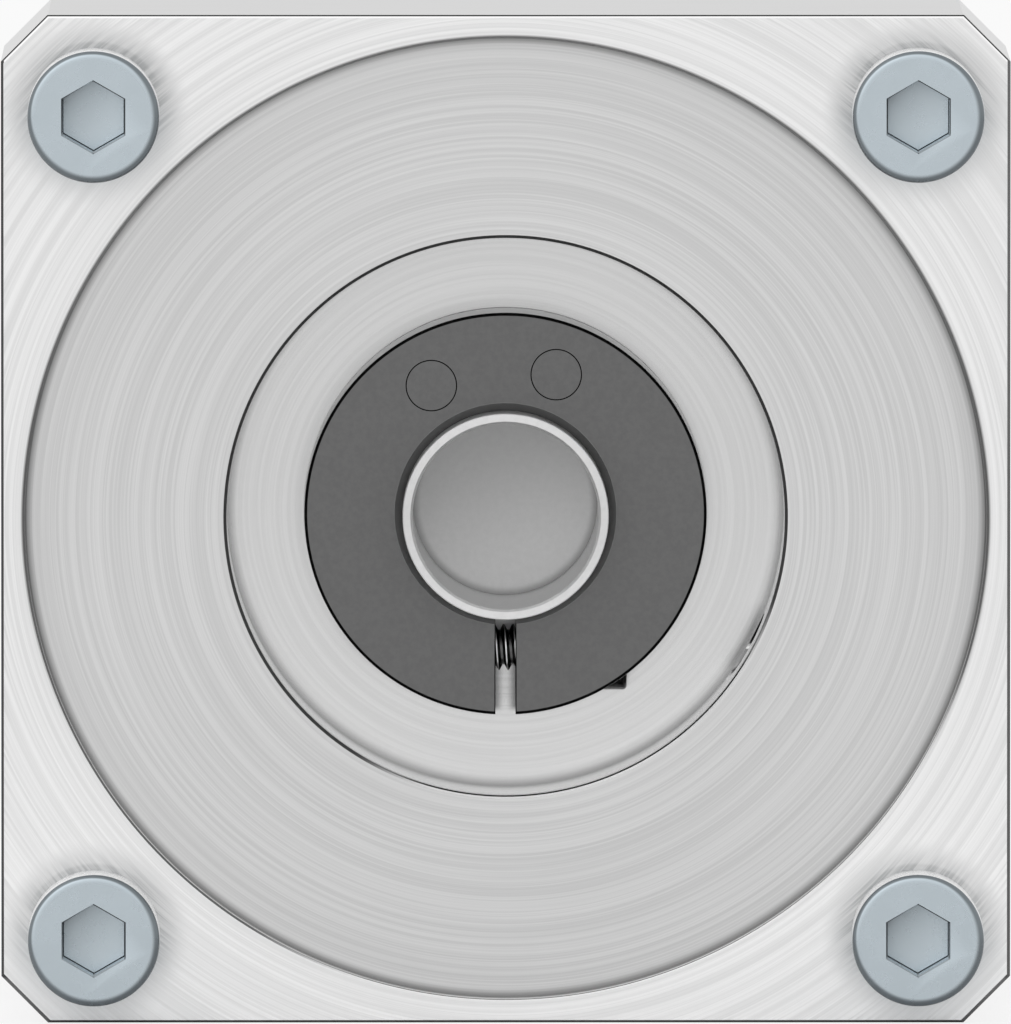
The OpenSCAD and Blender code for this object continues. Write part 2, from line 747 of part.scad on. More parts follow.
// The barrel that carries the main bearings, with the rear face and its pilot boss
module output_housing() {
    color("darkgray") difference() {
        turned([
            [0, y_output_housing], [barrel_r - fine_chamfer, y_output_housing],
            [barrel_r, y_output_housing + fine_chamfer], [barrel_r, y_rear_face - rear_chamfer],
            [barrel_r - rear_chamfer, y_rear_face], [boss_d / 2, y_rear_face],
            [boss_d / 2, y_boss_end - shaft_chamfer], [boss_d / 2 - shaft_chamfer, y_boss_end],
            [0, y_boss_end]
        ]);
        rod(y_output_housing - over, y_lip, plate_bore_r);
        rod(y_output_housing, y_boss_end, bearing_bore_r - bearing_step);
        rod(y_main_bearing, y_boss_end + over, bearing_bore_r);
        rod(y_main_end, y_main_end + housing_circlip_t, bearing_bore_r + circlip_bite);
        taper(y_boss_end - shaft_chamfer, y_boss_end + hair, bearing_bore_r,
              bearing_bore_r + shaft_chamfer);
        for (at = bolt_circle(joint_pcd / 2, joint_screw_count, joint_screw_angle))
            rod(y_output_housing - over, y_output_housing + joint_screw_grip + joint_drill_tip,
                joint_screw_d / 2 + seat, at);
        for (a = dowel_angles)
            rod(y_output_housing - over, y_output_housing + dowel_len / 2, dowel_d / 2 + seat,
                polar(joint_pcd / 2, a));
        for (at = bolt_circle(rear_pcd / 2, 4, 45))
            rod(y_rear_face - rear_hole_depth, y_rear_face + boss_len + over, rear_hole_r, at);
    }
}

module main_bearing_outer_rings() {
    color("gainsboro") for (i = [0 : main_bearing_count - 1])
        bearing_outer(main_bearing, y_main_bearing + i * main_bearing[WIDTH]);
}

module main_bearing_inner_rings() {
    color("gainsboro") for (i = [0 : main_bearing_count - 1])
        bearing_inner(main_bearing, y_main_bearing + i * main_bearing[WIDTH]);
}

module main_bearing_balls() {
    color("silver") for (i = [0 : main_bearing_count - 1])
        bearing_balls(main_bearing, y_main_bearing + i * main_bearing[WIDTH]);
}

module main_bearing_cages() {
    color("goldenrod") for (i = [0 : main_bearing_count - 1])
        bearing_cage(main_bearing, y_main_bearing + i * main_bearing[WIDTH]);
}

module housing_circlip() {
    r1 = bearing_bore_r + circlip_bite - seat;
    color("dimgray") circlip(y_main_end, housing_circlip_t, r1 - circlip_band, r1,
                             housing_eye_r, r1 - housing_eye_r - shaft_chamfer);
}

module output_circlip() {
    r0 = neck_r - circlip_bite + seat;
    color("dimgray") circlip(y_main_end, output_circlip_t, r0, r0 + circlip_band,
                             output_eye_r, r0 + output_eye_r + ring_chamfer);
}

module output_seal() {
    color("black") mirror_seal() lip_seal(0, output_seal_t, neck_r, bearing_bore_r);
}

// Turns a seal round, so that its flat side faces the output
module mirror_seal() {
    translate([0, y_output_seal + output_seal_t, 0]) mirror([0, 1, 0]) children();
}

// The plate with the output pins, the neck in the main bearings and the output face
module output_carrier() {
    seat_r = rear_bearing[OUTSIDE] / 2;
    y_seat_end = y_rear_bearing + rear_bearing[WIDTH];
    color("gray") difference() {
        turned([
            [0, y_output_housing + seat],
            [carrier_plate_d / 2 - shaft_chamfer, y_output_housing + seat],
            [carrier_plate_d / 2, y_output_housing + shaft_chamfer],
            [carrier_plate_d / 2, y_plate_end],
            [neck_r + bearing_step, y_plate_end], [neck_r + bearing_step, y_main_bearing],
            [neck_r, y_main_bearing], [neck_r, y_output_face - face_chamfer],
            [neck_r - face_chamfer, y_output_face], [0, y_output_face]
        ]);
        rod(y_output_housing - over, y_seat_end, seat_r);
        rod(y_seat_end - over, y_shaft_end + shaft_end_space, seat_r - seat_step);
        translate([0, y_main_end, 0]) rotate([-90, 0, 0]) difference() {
            cylinder(r = neck_r + over, h = output_circlip_t);
            cylinder(r = neck_r - circlip_bite, h = output_circlip_t);
        }
        for (at = bolt_circle(output_pin_circle_r, output_pin_count))
            rod(y_output_housing - over, y_plate_end + over, output_pin_d / 2 + seat, at);
        rod(y_output_face - output_pilot_depth, y_output_face + over, output_pilot_d / 2);
        for (at = bolt_circle(output_pcd / 2, output_hole_count))
            rod(y_output_face - output_hole_depth, y_output_face + over, output_hole_r, at);
    }
}

module output_pins() {
    color("silver") for (at = bolt_circle(output_pin_circle_r, output_pin_count))
        rod(y_disc_a - pin_proud, y_plate_end - seat, output_pin_d / 2, at);
}

module output_rollers() {
    color("gainsboro") for (at = bolt_circle(output_pin_circle_r, output_pin_count))
        difference() {
            rod(y_disc_a, y_disc_end + roller_proud, output_roller_d / 2, at);
            rod(y_disc_a - over, y_disc_end + over, output_pin_d / 2 + play, at);
        }
}

motor_adapter();
adapter_screws();
adapter_o_ring();
input_seal();
input_bearing_outer_ring();
input_bearing_inner_ring();
input_bearing_balls();
input_bearing_cage();
input_circlip();
eccentric_shaft();
clamp_ring();
clamp_screw();
balance_plugs();
cam_washer();
rear_spacer();
rear_bearing_inner_ring();
rear_bearing_outer_ring();
rear_bearing_balls();
rear_bearing_cage();
rear_circlip();
cam_rollers_a();
cam_rollers_b();
cycloid_disc_a();
cycloid_disc_b();
ring_housing();
ring_pins();
joint_screws();
joint_dowels();
output_housing();
main_bearing_outer_rings();
main_bearing_inner_rings();
main_bearing_balls();
main_bearing_cages();
housing_circlip();
output_circlip();
output_seal();
output_carrier();
output_pins();
output_rollers();
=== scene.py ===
# %% [markdown]
# A cycloidal reducer, seen from its motor side. The construction comes packed from the CAD model, and this
# script dresses it: it models the visible pieces again with smooth, finely bevelled surfaces, and gives
# every piece the finish of the real one. Each step is one cell: first what the piece is, then the code.

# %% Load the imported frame
import json
import math

import bpy
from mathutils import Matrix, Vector


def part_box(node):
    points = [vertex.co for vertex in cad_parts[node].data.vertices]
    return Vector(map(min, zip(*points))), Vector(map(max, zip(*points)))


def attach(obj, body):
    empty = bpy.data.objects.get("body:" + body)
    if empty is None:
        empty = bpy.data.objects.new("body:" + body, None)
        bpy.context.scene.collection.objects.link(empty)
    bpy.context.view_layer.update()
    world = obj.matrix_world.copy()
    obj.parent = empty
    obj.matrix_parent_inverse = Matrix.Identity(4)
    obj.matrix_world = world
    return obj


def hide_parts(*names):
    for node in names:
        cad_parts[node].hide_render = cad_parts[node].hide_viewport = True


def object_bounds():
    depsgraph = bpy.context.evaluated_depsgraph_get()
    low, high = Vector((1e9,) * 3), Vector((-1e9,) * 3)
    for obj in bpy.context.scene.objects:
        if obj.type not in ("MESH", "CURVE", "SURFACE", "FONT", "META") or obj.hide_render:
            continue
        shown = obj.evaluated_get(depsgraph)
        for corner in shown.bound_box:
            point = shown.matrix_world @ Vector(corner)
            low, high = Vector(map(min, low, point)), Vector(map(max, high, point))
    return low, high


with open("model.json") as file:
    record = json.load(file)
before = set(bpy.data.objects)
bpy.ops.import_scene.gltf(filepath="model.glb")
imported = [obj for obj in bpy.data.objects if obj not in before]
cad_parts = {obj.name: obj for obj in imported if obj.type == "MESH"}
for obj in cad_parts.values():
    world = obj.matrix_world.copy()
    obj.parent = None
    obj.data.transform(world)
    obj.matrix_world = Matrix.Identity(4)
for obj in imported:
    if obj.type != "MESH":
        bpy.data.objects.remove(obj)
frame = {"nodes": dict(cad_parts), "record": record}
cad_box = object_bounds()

# %% [markdown]
# Sizes first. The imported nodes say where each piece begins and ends, and the record's mounts give the
# radii of the bores, so nothing is typed twice. Only the small sizes of a finish, such as a broken edge,
# are named here.

# %% Driving sizes, in metres
MM = 0.001
mounts = {mount["name"]: mount for mount in frame["record"]["mounts"]}


def mount_radius(name, key="r_mm"):
    return mounts[name]["dims"][key] * MM


adapter_low, adapter_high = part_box("motor_adapter")
ring_low, ring_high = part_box("ring_housing")
clamp_low, clamp_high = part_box("clamp_ring")
screws_low, screws_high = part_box("adapter_screws")
bolt_low, bolt_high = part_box("clamp_screw")
plugs_low, plugs_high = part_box("balance_plugs")
shaft_low, shaft_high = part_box("eccentric_shaft")
barrel_low, barrel_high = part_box("output_housing")
carrier_low, carrier_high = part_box("output_carrier")
seal_low, seal_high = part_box("output_seal")

half_width = adapter_high.x
joint_y = ring_low.y
head_r = 4.25 * MM
SCREW_R = 2.5 * MM
screw_a = screws_high.x - head_r
screw_top, screw_bottom = screws_high.z - head_r, screws_low.z + head_r
screw_drop = -(screw_top + screw_bottom) / 2
pilot_r = mount_radius("motor_pilot")
pilot_y = mounts["motor_pilot"]["dims"]["length_mm"] * MM
shaft_bore_r = mount_radius("motor_shaft")
clamp_r = clamp_high.x
CORNER_CHAMFER = 3 * MM
BROKEN_EDGE = 0.2 * MM
PILOT_EDGE = 0.13 * MM
CHAMBER_R = 18 * MM
chamber_y = clamp_high.y + 0.2 * MM
ring_inner_r = 22.75 * MM
bolt_y = (bolt_low.y + bolt_high.y) / 2
bolt_z = (bolt_low.z + bolt_high.z) / 2
KEY_HOLE_R = 2.2 * MM
SLIT = 1.3 * MM
TURN_STEPS = 256
print("adapter", round(2 * half_width / MM, 2), "mm wide, clamp ring", round(2 * clamp_r / MM, 2), "mm")

# %% [markdown]
# Most pieces of a reducer are turned on a lathe, so most start here as the outline of half a section and
# are spun round the axis. The spin leaves doubled points on the seam and on the axis: they are merged
# before the normals are made to point outwards.

# %% Helper: spin a section round the reducer's axis


def edit(piece):
    """Goes into edit mode on one piece with all of it selected."""
    bpy.ops.object.select_all(action="DESELECT")
    piece.select_set(True)
    bpy.context.view_layer.objects.active = piece
    bpy.ops.object.mode_set(mode="EDIT")
    bpy.ops.mesh.select_mode(type="VERT")
    bpy.ops.mesh.select_all(action="SELECT")


def leave_edit():
    bpy.ops.object.mode_set(mode="OBJECT")


def tidy_mesh(piece):
    """Merges doubled points, drops what is left of collapsed faces and turns the normals out."""
    edit(piece)
    bpy.ops.mesh.remove_doubles(threshold=1e-7)
    bpy.ops.mesh.dissolve_degenerate(threshold=1e-8)
    bpy.ops.mesh.delete_loose(use_verts=True, use_edges=True, use_faces=False)
    bpy.ops.mesh.select_all(action="SELECT")
    bpy.ops.mesh.normals_make_consistent(inside=False)
    leave_edit()


def turned(name, section, steps=TURN_STEPS):
    """A solid of revolution about Y from the (radius, y) corners of its half section."""
    bpy.ops.object.select_all(action="DESELECT")
    bpy.ops.mesh.primitive_circle_add(vertices=len(section), radius=MM)
    piece = bpy.context.object
    piece.name = name
    for point, (radius, station) in zip(piece.data.vertices, section):
        point.co = (radius, station, 0)
    edit(piece)
    bpy.ops.mesh.spin(steps=steps, angle=2 * math.pi, center=(0, 0, 0), axis=(0, 1, 0))
    leave_edit()
    tidy_mesh(piece)
    return piece


def arc(centre, radius, start, end, count=8):
    """Points of an arc in a half section; angles in degrees, from the radius direction towards +Y."""
    angles = [math.radians(start + (end - start) * i / count) for i in range(count + 1)]
    return [(centre[0] + radius * math.cos(a), centre[1] + radius * math.sin(a)) for a in angles]


# %% [markdown]
# Holes and recesses are cut with the Boolean modifier. Sharp edges are then broken, either all of them with
# the Bevel modifier or a chosen few in edit mode. The bevel's faces get the piece's second material: on
# machined metal the thin broken edge is what catches other reflections, and that material paints those
# reflections into its colour as painted reflection, which draws each outline.

# %% Helpers: cut, join, drill and break edges


def apply_modifier(piece, kind, **settings):
    modifier = piece.modifiers.new(kind.lower(), kind)
    for key, value in settings.items():
        setattr(modifier, key, value)
    bpy.ops.object.select_all(action="DESELECT")
    piece.select_set(True)
    bpy.context.view_layer.objects.active = piece
    bpy.ops.object.modifier_apply(modifier=modifier.name)


def combine(piece, tool, operation):
    """Cuts a tool out of a piece, or adds it, and then deletes the tool."""
    apply_modifier(piece, "BOOLEAN", object=tool, operation=operation, solver="EXACT")
    bpy.data.objects.remove(tool)


def cut(piece, tool):
    combine(piece, tool, "DIFFERENCE")


def join(piece, *others):
    bpy.ops.object.select_all(action="DESELECT")
    for other in (piece, *others):
        other.select_set(True)
    bpy.context.view_layer.objects.active = piece
    bpy.ops.object.join()


def round_tool(radius, start, end, vertices=64):
    """A round bar between two points, to cut a hole with."""
    start, end = Vector(start), Vector(end)
    bpy.ops.object.select_all(action="DESELECT")
    bpy.ops.mesh.primitive_cylinder_add(
        vertices=vertices, radius=radius, depth=(end - start).length, location=(start + end) / 2
    )
    tool = bpy.context.object
    tool.rotation_mode = "QUATERNION"
    tool.rotation_quaternion = (end - start).to_track_quat("Z", "Y")
    bpy.ops.object.transform_apply(location=True, rotation=True, scale=True)
    return tool


def box_tool(low, high):
    low, high = Vector(low), Vector(high)
    bpy.ops.object.select_all(action="DESELECT")
    bpy.ops.mesh.primitive_cube_add(size=1, location=(low + high) / 2, scale=high - low)
    bpy.ops.object.transform_apply(location=True, rotation=True, scale=True)
    return bpy.context.object


def on_circle(radius, degrees, y):
    angle = math.radians(degrees)
    return Vector((radius * math.cos(angle), y, radius * math.sin(angle)))


def break_edges(piece, width=BROKEN_EDGE, segments=1, angle=35):
    """Bevels every edge sharper than the angle; the new faces take material slot 1."""
    apply_modifier(
        piece,
        "BEVEL",
        width=width,
        segments=segments,
        limit_method="ANGLE",
        angle_limit=math.radians(angle),
        material=1,
        use_clamp_overlap=True,
    )


def select_edges(piece, wanted):
    """Selects in edit mode the edges for which wanted(middle, start, end) is true."""
    edit(piece)
    bpy.ops.mesh.select_mode(type="EDGE")
    bpy.ops.mesh.select_all(action="DESELECT")
    leave_edit()
    points = piece.data.vertices
    chosen = 0
    for line in piece.data.edges:
        start, end = (points[i].co for i in line.vertices)
        line.select = bool(wanted((start + end) / 2, start, end))
        chosen += line.select
    bpy.ops.object.mode_set(mode="EDIT")
    return chosen


def break_chosen(piece, wanted, width, material=1):
    """Bevels only the wanted edges."""
    chosen = select_edges(piece, wanted)
    bpy.ops.mesh.bevel(offset=width, segments=1, affect="EDGES", clamp_overlap=False, material=material)
    leave_edit()
    return chosen


def smooth(piece, angle=32):
    bpy.ops.object.select_all(action="DESELECT")
    piece.select_set(True)
    bpy.context.view_layer.objects.active = piece
    bpy.ops.object.shade_smooth_by_angle(angle=math.radians(angle))


# %% [markdown]
# Finishes are node materials. A small class wraps a node's socket, so that a mask can be written as plain
# arithmetic, and another holds one material while it is built.

# %% Helper: shader fields and finishes


class Field:
    """A value that changes over a surface. Sums, products and so on add their Math nodes."""

    def __init__(self, finish, socket):
        self.finish = finish
        self.socket = socket

    def math(self, operation, *others):
        return self.finish.node("ShaderNodeMath", dict(enumerate((self, *others))), operation=operation)

    def __add__(self, other):
        return self.math("ADD", other)

    def __mul__(self, other):
        return self.math("MULTIPLY", other)

    def __sub__(self, other):
        return self.math("SUBTRACT", other)

    def __truediv__(self, other):
        return self.math("DIVIDE", other)

    def __rsub__(self, other):
        return self.finish.node("ShaderNodeMath", {0: other, 1: self}, operation="SUBTRACT")

    def __rtruediv__(self, other):
        return self.finish.node("ShaderNodeMath", {0: other, 1: self}, operation="DIVIDE")

    __radd__ = __add__
    __rmul__ = __mul__

    def root(self):
        return self.math("SQRT")

    def size(self):
        return self.math("ABSOLUTE")

    def sign(self):
        return self.math("SIGN")

    def larger(self, other):
        return self.math("MAXIMUM", other)

    def over(self, start, end, low=0.0, high=1.0):
        """Rises smoothly from low to high as the value goes from start to end."""
        values = {"Value": self, "From Min": start, "From Max": end, "To Min": low, "To Max": high}
        return self.finish.node("ShaderNodeMapRange", values, interpolation_type="SMOOTHSTEP")

    def toward(self, other, mask):
        """This value where the mask is 0, the other where it is 1."""
        return self + (other - self) * mask


class Finish:
    """One node material: its shader, the object's coordinates and the nodes that vary over it."""

    def __init__(self, name, metallic=1.0, roughness=0.35, **constants):
        self.material = bpy.data.materials.new(name)
        self.material.use_nodes = True
        self.tree = self.material.node_tree
        self.shader = self.tree.nodes["Principled BSDF"]
        self.shader.inputs["Metallic"].default_value = metallic
        self.shader.inputs["Roughness"].default_value = roughness
        for key, value in constants.items():
            self.shader.inputs[key.replace("_", " ").title()].default_value = value
        self.place = self.node("ShaderNodeTexCoord", {}, output="Object")
        parts = self.place.socket.node
        split = self.tree.nodes.new("ShaderNodeSeparateXYZ")
        self.tree.links.new(parts.outputs["Object"], split.inputs[0])
        self.x = Field(self, split.outputs["X"])
        self.y = Field(self, split.outputs["Y"])
        self.z = Field(self, split.outputs["Z"])
        self.radius = (self.x * self.x + self.z * self.z).root()

    def node(self, kind, values, output=0, **settings):
        """Adds any node; values go to its inputs and the named output comes back."""
        made = self.tree.nodes.new(kind)
        for key, value in settings.items():
            setattr(made, key, value)
        for key, value in values.items():
            if isinstance(value, Field):
                self.tree.links.new(value.socket, made.inputs[key])
            else:
                made.inputs[key].default_value = value
        return Field(self, made.outputs[output])

    def noise(self, vector, scale, detail=3.0):
        values = {"Vector": vector, "Scale": scale, "Detail": detail, "Roughness": 0.6}
        return self.node("ShaderNodeTexNoise", values)

    def tinted(self, tone, tint=(1.0, 1.0, 1.0)):
        """A colour: the tone times the tint, which is a constant or a colour of its own."""
        return self.node("ShaderNodeVectorMath", {0: tone, 1: tint}, operation="MULTIPLY")

    def vector(self, x, y, z):
        return self.node("ShaderNodeCombineXYZ", {"X": x, "Y": y, "Z": z})

    def mix(self, mask, first, second):
        """A colour that goes from first to second with the mask."""
        return self.node("ShaderNodeMix", {0: mask, 6: first, 7: second}, output=2, data_type="RGBA")

    def feed(self, socket, field):
        self.tree.links.new(field.socket, self.shader.inputs[socket])

    def bump(self, height, distance, strength=1.0):
        values = {"Height": height, "Distance": distance, "Strength": strength}
        self.feed("Normal", self.node("ShaderNodeBump", values))


def grey(value, tint=(1.0, 1.0, 1.0)):
    return (value * tint[0], value * tint[1], value * tint[2], 1.0)


# %% [markdown]
# Turning and facing leave fine concentric marks. Noise that runs quickly along the radius and slowly round
# the axis draws them: the point's direction from the axis replaces its angle, so there is no seam.

# %% Helper: concentric turning marks


def turning_marks(finish, lines_per_mm=9.0, sweep=1.6):
    """Noise stretched round the Y axis, centred on 0.5."""
    guard = finish.radius + 0.05 * MM
    along = finish.radius * (lines_per_mm / MM)
    across_x = finish.x.math("DIVIDE", guard) * sweep
    across_z = finish.z.math("DIVIDE", guard) * sweep
    return finish.noise(finish.vector(along, across_x, across_z), 1.0)


# %% [markdown]
# The adapter is one aluminium block: faced square, bored in steps from the front, with broken edges. The
# front face is the brightest; the recess and the chamber are turned and a little darker, and painted
# shade darkens their corners.

# %% Finish of the adapter

FACE_TONE = 0.86
RECESS_TONE = 0.68
FLOOR_TONE = 0.70
WALL_TONE = 0.91
SIDE_TONE = 0.74
ZINC = (0.858, 0.966, 1.035)


def from_screw(finish):
    """The place measured from the nearest corner screw: across, up and the distance."""
    across = finish.x - finish.x.sign() * screw_a
    up = finish.z + screw_drop - finish.z.sign() * (screw_top + screw_drop)
    return across, up, (across * across + up * up).root()


def shade_by_screws(finish, tone, marks):
    """Paints a bluish shade and reflection of the heads on the face round them, most of all above them; gives the
    colour.
    """
    across, up, distance = from_screw(finish)
    height = up / distance.larger(head_r)
    inward = (across * finish.x.sign() * -1.0) / distance.larger(head_r)
    strength = height.over(-0.75, 0.15, 0.12, 0.36) + inward.over(0.0, 1.0, 0.0, 0.07)
    reach = distance.over(head_r - 0.2 * MM, head_r + 2.1 * MM, 1.0, 0.0)
    shade = strength * reach * marks.over(0.4, 0.6, 0.6, 1.35)
    # a painted shadow right round each head, only above it
    contact_shade = distance.over(head_r + 0.52 * MM, head_r + 0.25 * MM) * height.over(0.2, 0.9, 0.0, 0.13)
    return finish.mix(shade + contact_shade, finish.tinted(tone), grey(0.12, ZINC))


def shade_key_hole(finish, tone):
    """Paints shade inside the hole for the clamp screw's key, black where it is deepest, with one painted
    highlight.
    """
    along, up = finish.y - bolt_y, finish.z - bolt_z
    inside = (along * along + up * up).root().over(KEY_HOLE_R + 0.04 * MM, KEY_HOLE_R + 0.02 * MM)
    inside = inside * finish.x.over(CHAMBER_R * 0.8, CHAMBER_R * 0.85)
    gap = up.over(0.35 * MM, 0.15 * MM) * up.over(-1.1 * MM, -0.9 * MM)
    painted_glint = up.over(0.15 * MM, 0.05 * MM) * up.over(-0.3 * MM, -0.2 * MM)
    deep = finish.radius.over(CHAMBER_R + 0.10 * MM, CHAMBER_R + 0.15 * MM) * (1.0 - gap)
    tone = tone.toward(0.25, inside).toward(0.01, inside * deep)
    return tone.toward(1.0, inside * painted_glint)


def adapter_finish():
    finish = Finish("turned_aluminium", roughness=0.34)
    fine = turning_marks(finish, 9.0, 0.9)
    coarse = turning_marks(finish, 4.2, 0.45)
    inside = finish.radius.over(pilot_r + 0.3 * MM, pilot_r + 0.1 * MM)
    in_recess = finish.y.over(1.0 * MM, 1.6 * MM) * inside
    in_chamber = finish.y.over(3.0 * MM, 4.0 * MM) * inside
    on_floor = finish.y.over(chamber_y - 0.12 * MM, chamber_y - 0.02 * MM) * inside
    tone = in_recess.over(0.0, 1.0, FACE_TONE, RECESS_TONE)
    tone = tone.toward(WALL_TONE, in_chamber)
    # painted shade: the chamber's floor is painted a little darker towards the top
    tone = tone.toward(finish.z.over(5 * MM, -15 * MM, FLOOR_TONE, FLOOR_TONE * 1.06), on_floor)
    streaks = coarse.over(0.40, 0.62, -0.05, 0.055) + fine.over(0.38, 0.62, -0.03, 0.03)
    tone = tone * (1.0 + streaks * (1.0 - in_chamber * (1.0 - on_floor * 0.6)))
    # painted shade: darker next to the recess's wall, a painted dark line at its foot that is stronger towards the
    # top, and darker in the chamber's floor corner and at the foot of its wall
    recess_corner_shade = finish.radius.over(pilot_r - 0.6 * MM, pilot_r) * in_recess * (1.0 - in_chamber)
    recess_shade_line = finish.radius.over(pilot_r - 0.13 * MM, pilot_r - 0.08 * MM) * inside
    tone = tone.toward(0.2, recess_corner_shade * 0.72).toward(0.2, recess_shade_line * finish.z.over(-20 * MM, 0))
    floor_corner_shade = finish.radius.over(CHAMBER_R - 0.75 * MM, CHAMBER_R) * on_floor
    wall_foot_shade = finish.y.over(chamber_y - 4.5 * MM, chamber_y + 1.0 * MM) * in_chamber * (1.0 - on_floor)
    tone = tone.toward(0.2, floor_corner_shade * 0.58 + wall_foot_shade * 0.6)
    # painted shadow on the chamber's floor beside the clamp ring's slit, at the bottom
    in_slit = finish.z.over(-clamp_r - 0.3 * MM, -clamp_r + 0.2 * MM) * finish.z.over(-6 * MM, -7 * MM)
    slit_shadow_side = finish.x.size().over(0.05 * MM, SLIT / 2) * finish.x.size().over(SLIT, SLIT * 0.8)
    tone = tone.toward(0.2, in_slit * slit_shadow_side * on_floor * 0.71)
    tone = shade_key_hole(finish, tone)
    on_face = finish.y.over(0.05 * MM, 0.01 * MM)
    # painted light: the lower part of the face is painted brighter
    lower_face_light = finish.z.over(-5 * MM, -half_width, 1.0, 1.09)
    shaded = shade_by_screws(finish, tone * lower_face_light, coarse)
    finish.feed("Base Color", finish.mix(on_face, finish.tinted(tone), shaded))
    finish.feed("Roughness", fine * 0.2 + in_chamber.over(0.0, 1.0, 0.26, 0.12))
    finish.bump(fine, 0.003 * MM, 0.5)
    return finish.material


def milled_finish():
    """The block's four sides: milled along the flange, and duller at a grazing look than the face."""
    finish = Finish("milled_aluminium", roughness=0.34, specular_tint=grey(0.75))
    lines = finish.noise(finish.vector(finish.x * 60.0, finish.y * 6000.0, finish.z * 60.0), 1.0)
    chamfer_at = 2 * half_width - CORNER_CHAMFER
    chamfer = (finish.x.size() + finish.z.size()).over(chamfer_at - 0.1 * MM, chamfer_at - 0.01 * MM)
    # painted light: the corner chamfers are painted lighter than the sides
    tone = lines.over(0.3, 0.7, SIDE_TONE - 0.02, SIDE_TONE + 0.04).toward(0.82, chamfer)
    finish.feed("Base Color", tone)
    finish.feed("Roughness", lines * 0.12 + 0.28)
    finish.bump(lines, 0.002 * MM, 0.4)
    return finish.material


def adapter_edge_finish():
    """Broken edges, painted: a painted highlight where they face up and slightly left, painted dark elsewhere, with
    a painted dark line.
    """
    finish = Finish("adapter_edge", roughness=0.3)
    radius = finish.radius
    across, up = finish.x.size(), finish.z
    chamfer_at = 2 * half_width - CORNER_CHAMFER
    outer = radius.over(pilot_r + 0.3 * MM, pilot_r + 0.35 * MM).larger(
        (across + up.size()).over(chamfer_at - 0.4 * MM, chamfer_at - 0.35 * MM)
    ).larger(across.larger(up.size()).over(half_width - 0.25 * MM, half_width - 0.22 * MM))
    lit_rim = ((finish.x * 0.35 - up * 0.94) / radius.larger(MM)).over(0.60, 0.82)
    chamber = radius.over(CHAMBER_R + 2 * MM, CHAMBER_R + MM)
    pilot_line = radius.over(pilot_r + 0.05 * MM, pilot_r + 0.03 * MM)
    chamber_line = radius.over(CHAMBER_R + 0.10 * MM, CHAMBER_R + 0.07 * MM)
    rim_line = pilot_line.toward(chamber_line, chamber)
    high = (up / radius.larger(MM)).over(-0.2, 0.9)
    rim_tone = high.over(0.0, 1.0, 0.17, 0.30).toward(0.085, chamber)
    rim_tone = rim_tone.toward(1.0, lit_rim)
    rim_tone = rim_tone.toward(chamber.over(0.0, 1.0, 0.16, 0.01), rim_line * lit_rim)
    # painted reflections on the outer outline: the top edge painted bright with a dark line along its outer side,
    # the bottom lighter than the sides, the right side a little lighter than the left
    top = up.over(half_width - 0.22 * MM, half_width - 0.2 * MM).larger(
        (across + up).over(chamfer_at - 0.4 * MM, chamfer_at - 0.35 * MM)
        * across.over(half_width - 0.19 * MM, half_width - 0.21 * MM)
    )
    top_line = up.over(half_width - 0.10 * MM, half_width - 0.07 * MM).larger(
        (across + up).over(chamfer_at - 0.14 * MM, chamfer_at - 0.10 * MM)
    )
    bottom = up.over(-half_width + 3 * MM, -half_width + 2.8 * MM)
    right = finish.x.over(half_width - 0.3 * MM, half_width - 0.1 * MM)
    outline_tone = (0.075 + right * 0.07).toward(0.19, bottom)
    outline_tone = outline_tone.toward(0.95, top * (1.0 - top_line))
    outline_tone = outline_tone.toward(0.035, top * top_line)
    finish.feed("Base Color", rim_tone.toward(outline_tone, outer))
    return finish.material


# A broken edge's colour is a painted reflection: one tone, darker than its piece, that draws the outline; noise
# varies it at random.
def edge_finish(name, tone, roughness=0.3):
    finish = Finish(name, roughness=roughness)
    wear = finish.noise(finish.place, 900.0)
    finish.feed("Base Color", finish.mix(wear, grey(tone * 0.8), grey(tone * 1.25)))
    return finish.material


turned_aluminium = adapter_finish()
adapter_edge = adapter_edge_finish()
milled_aluminium = milled_finish()
print("materials:", [m.name for m in bpy.data.materials])

# %% [markdown]
# The adapter starts as a cube. Its four long edges are chamfered in edit mode, the spigot is added at the
# back, and one turned tool cuts the recess, the chamber, the hole through the web and the bearing seat.

# %% The motor adapter


def chamfered_block(name, low, high, chamfer):
    """A square block whose four edges along Y are cut off by the chamfer."""
    bpy.ops.object.select_all(action="DESELECT")
    bpy.ops.mesh.primitive_cube_add(size=1, location=(low + high) / 2, scale=high - low)
    bpy.ops.object.transform_apply(location=True, rotation=True, scale=True)
    block = bpy.context.object
    block.name = name
    count = break_chosen(block, lambda middle, start, end: abs(start.y - end.y) > MM, chamfer, -1)
    print(name, "chamfered on", count, "edges")
    return block


SCREW_PLACES = [(side * screw_a, z) for side in (-1, 1) for z in (screw_top, screw_bottom)]


def on_outline(point, half):
    """True on the outline of a square flange with chamfered corners."""
    hair = 0.01 * MM
    across, up = abs(point.x), abs(point.z)
    return max(across, up) > half - hair or across + up > 2 * half - CORNER_CHAMFER - hair


def on_rim(point, radius, y):
    hair = 0.01 * MM
    return abs(math.hypot(point.x, point.z) - radius) < hair and abs(point.y - y) < hair


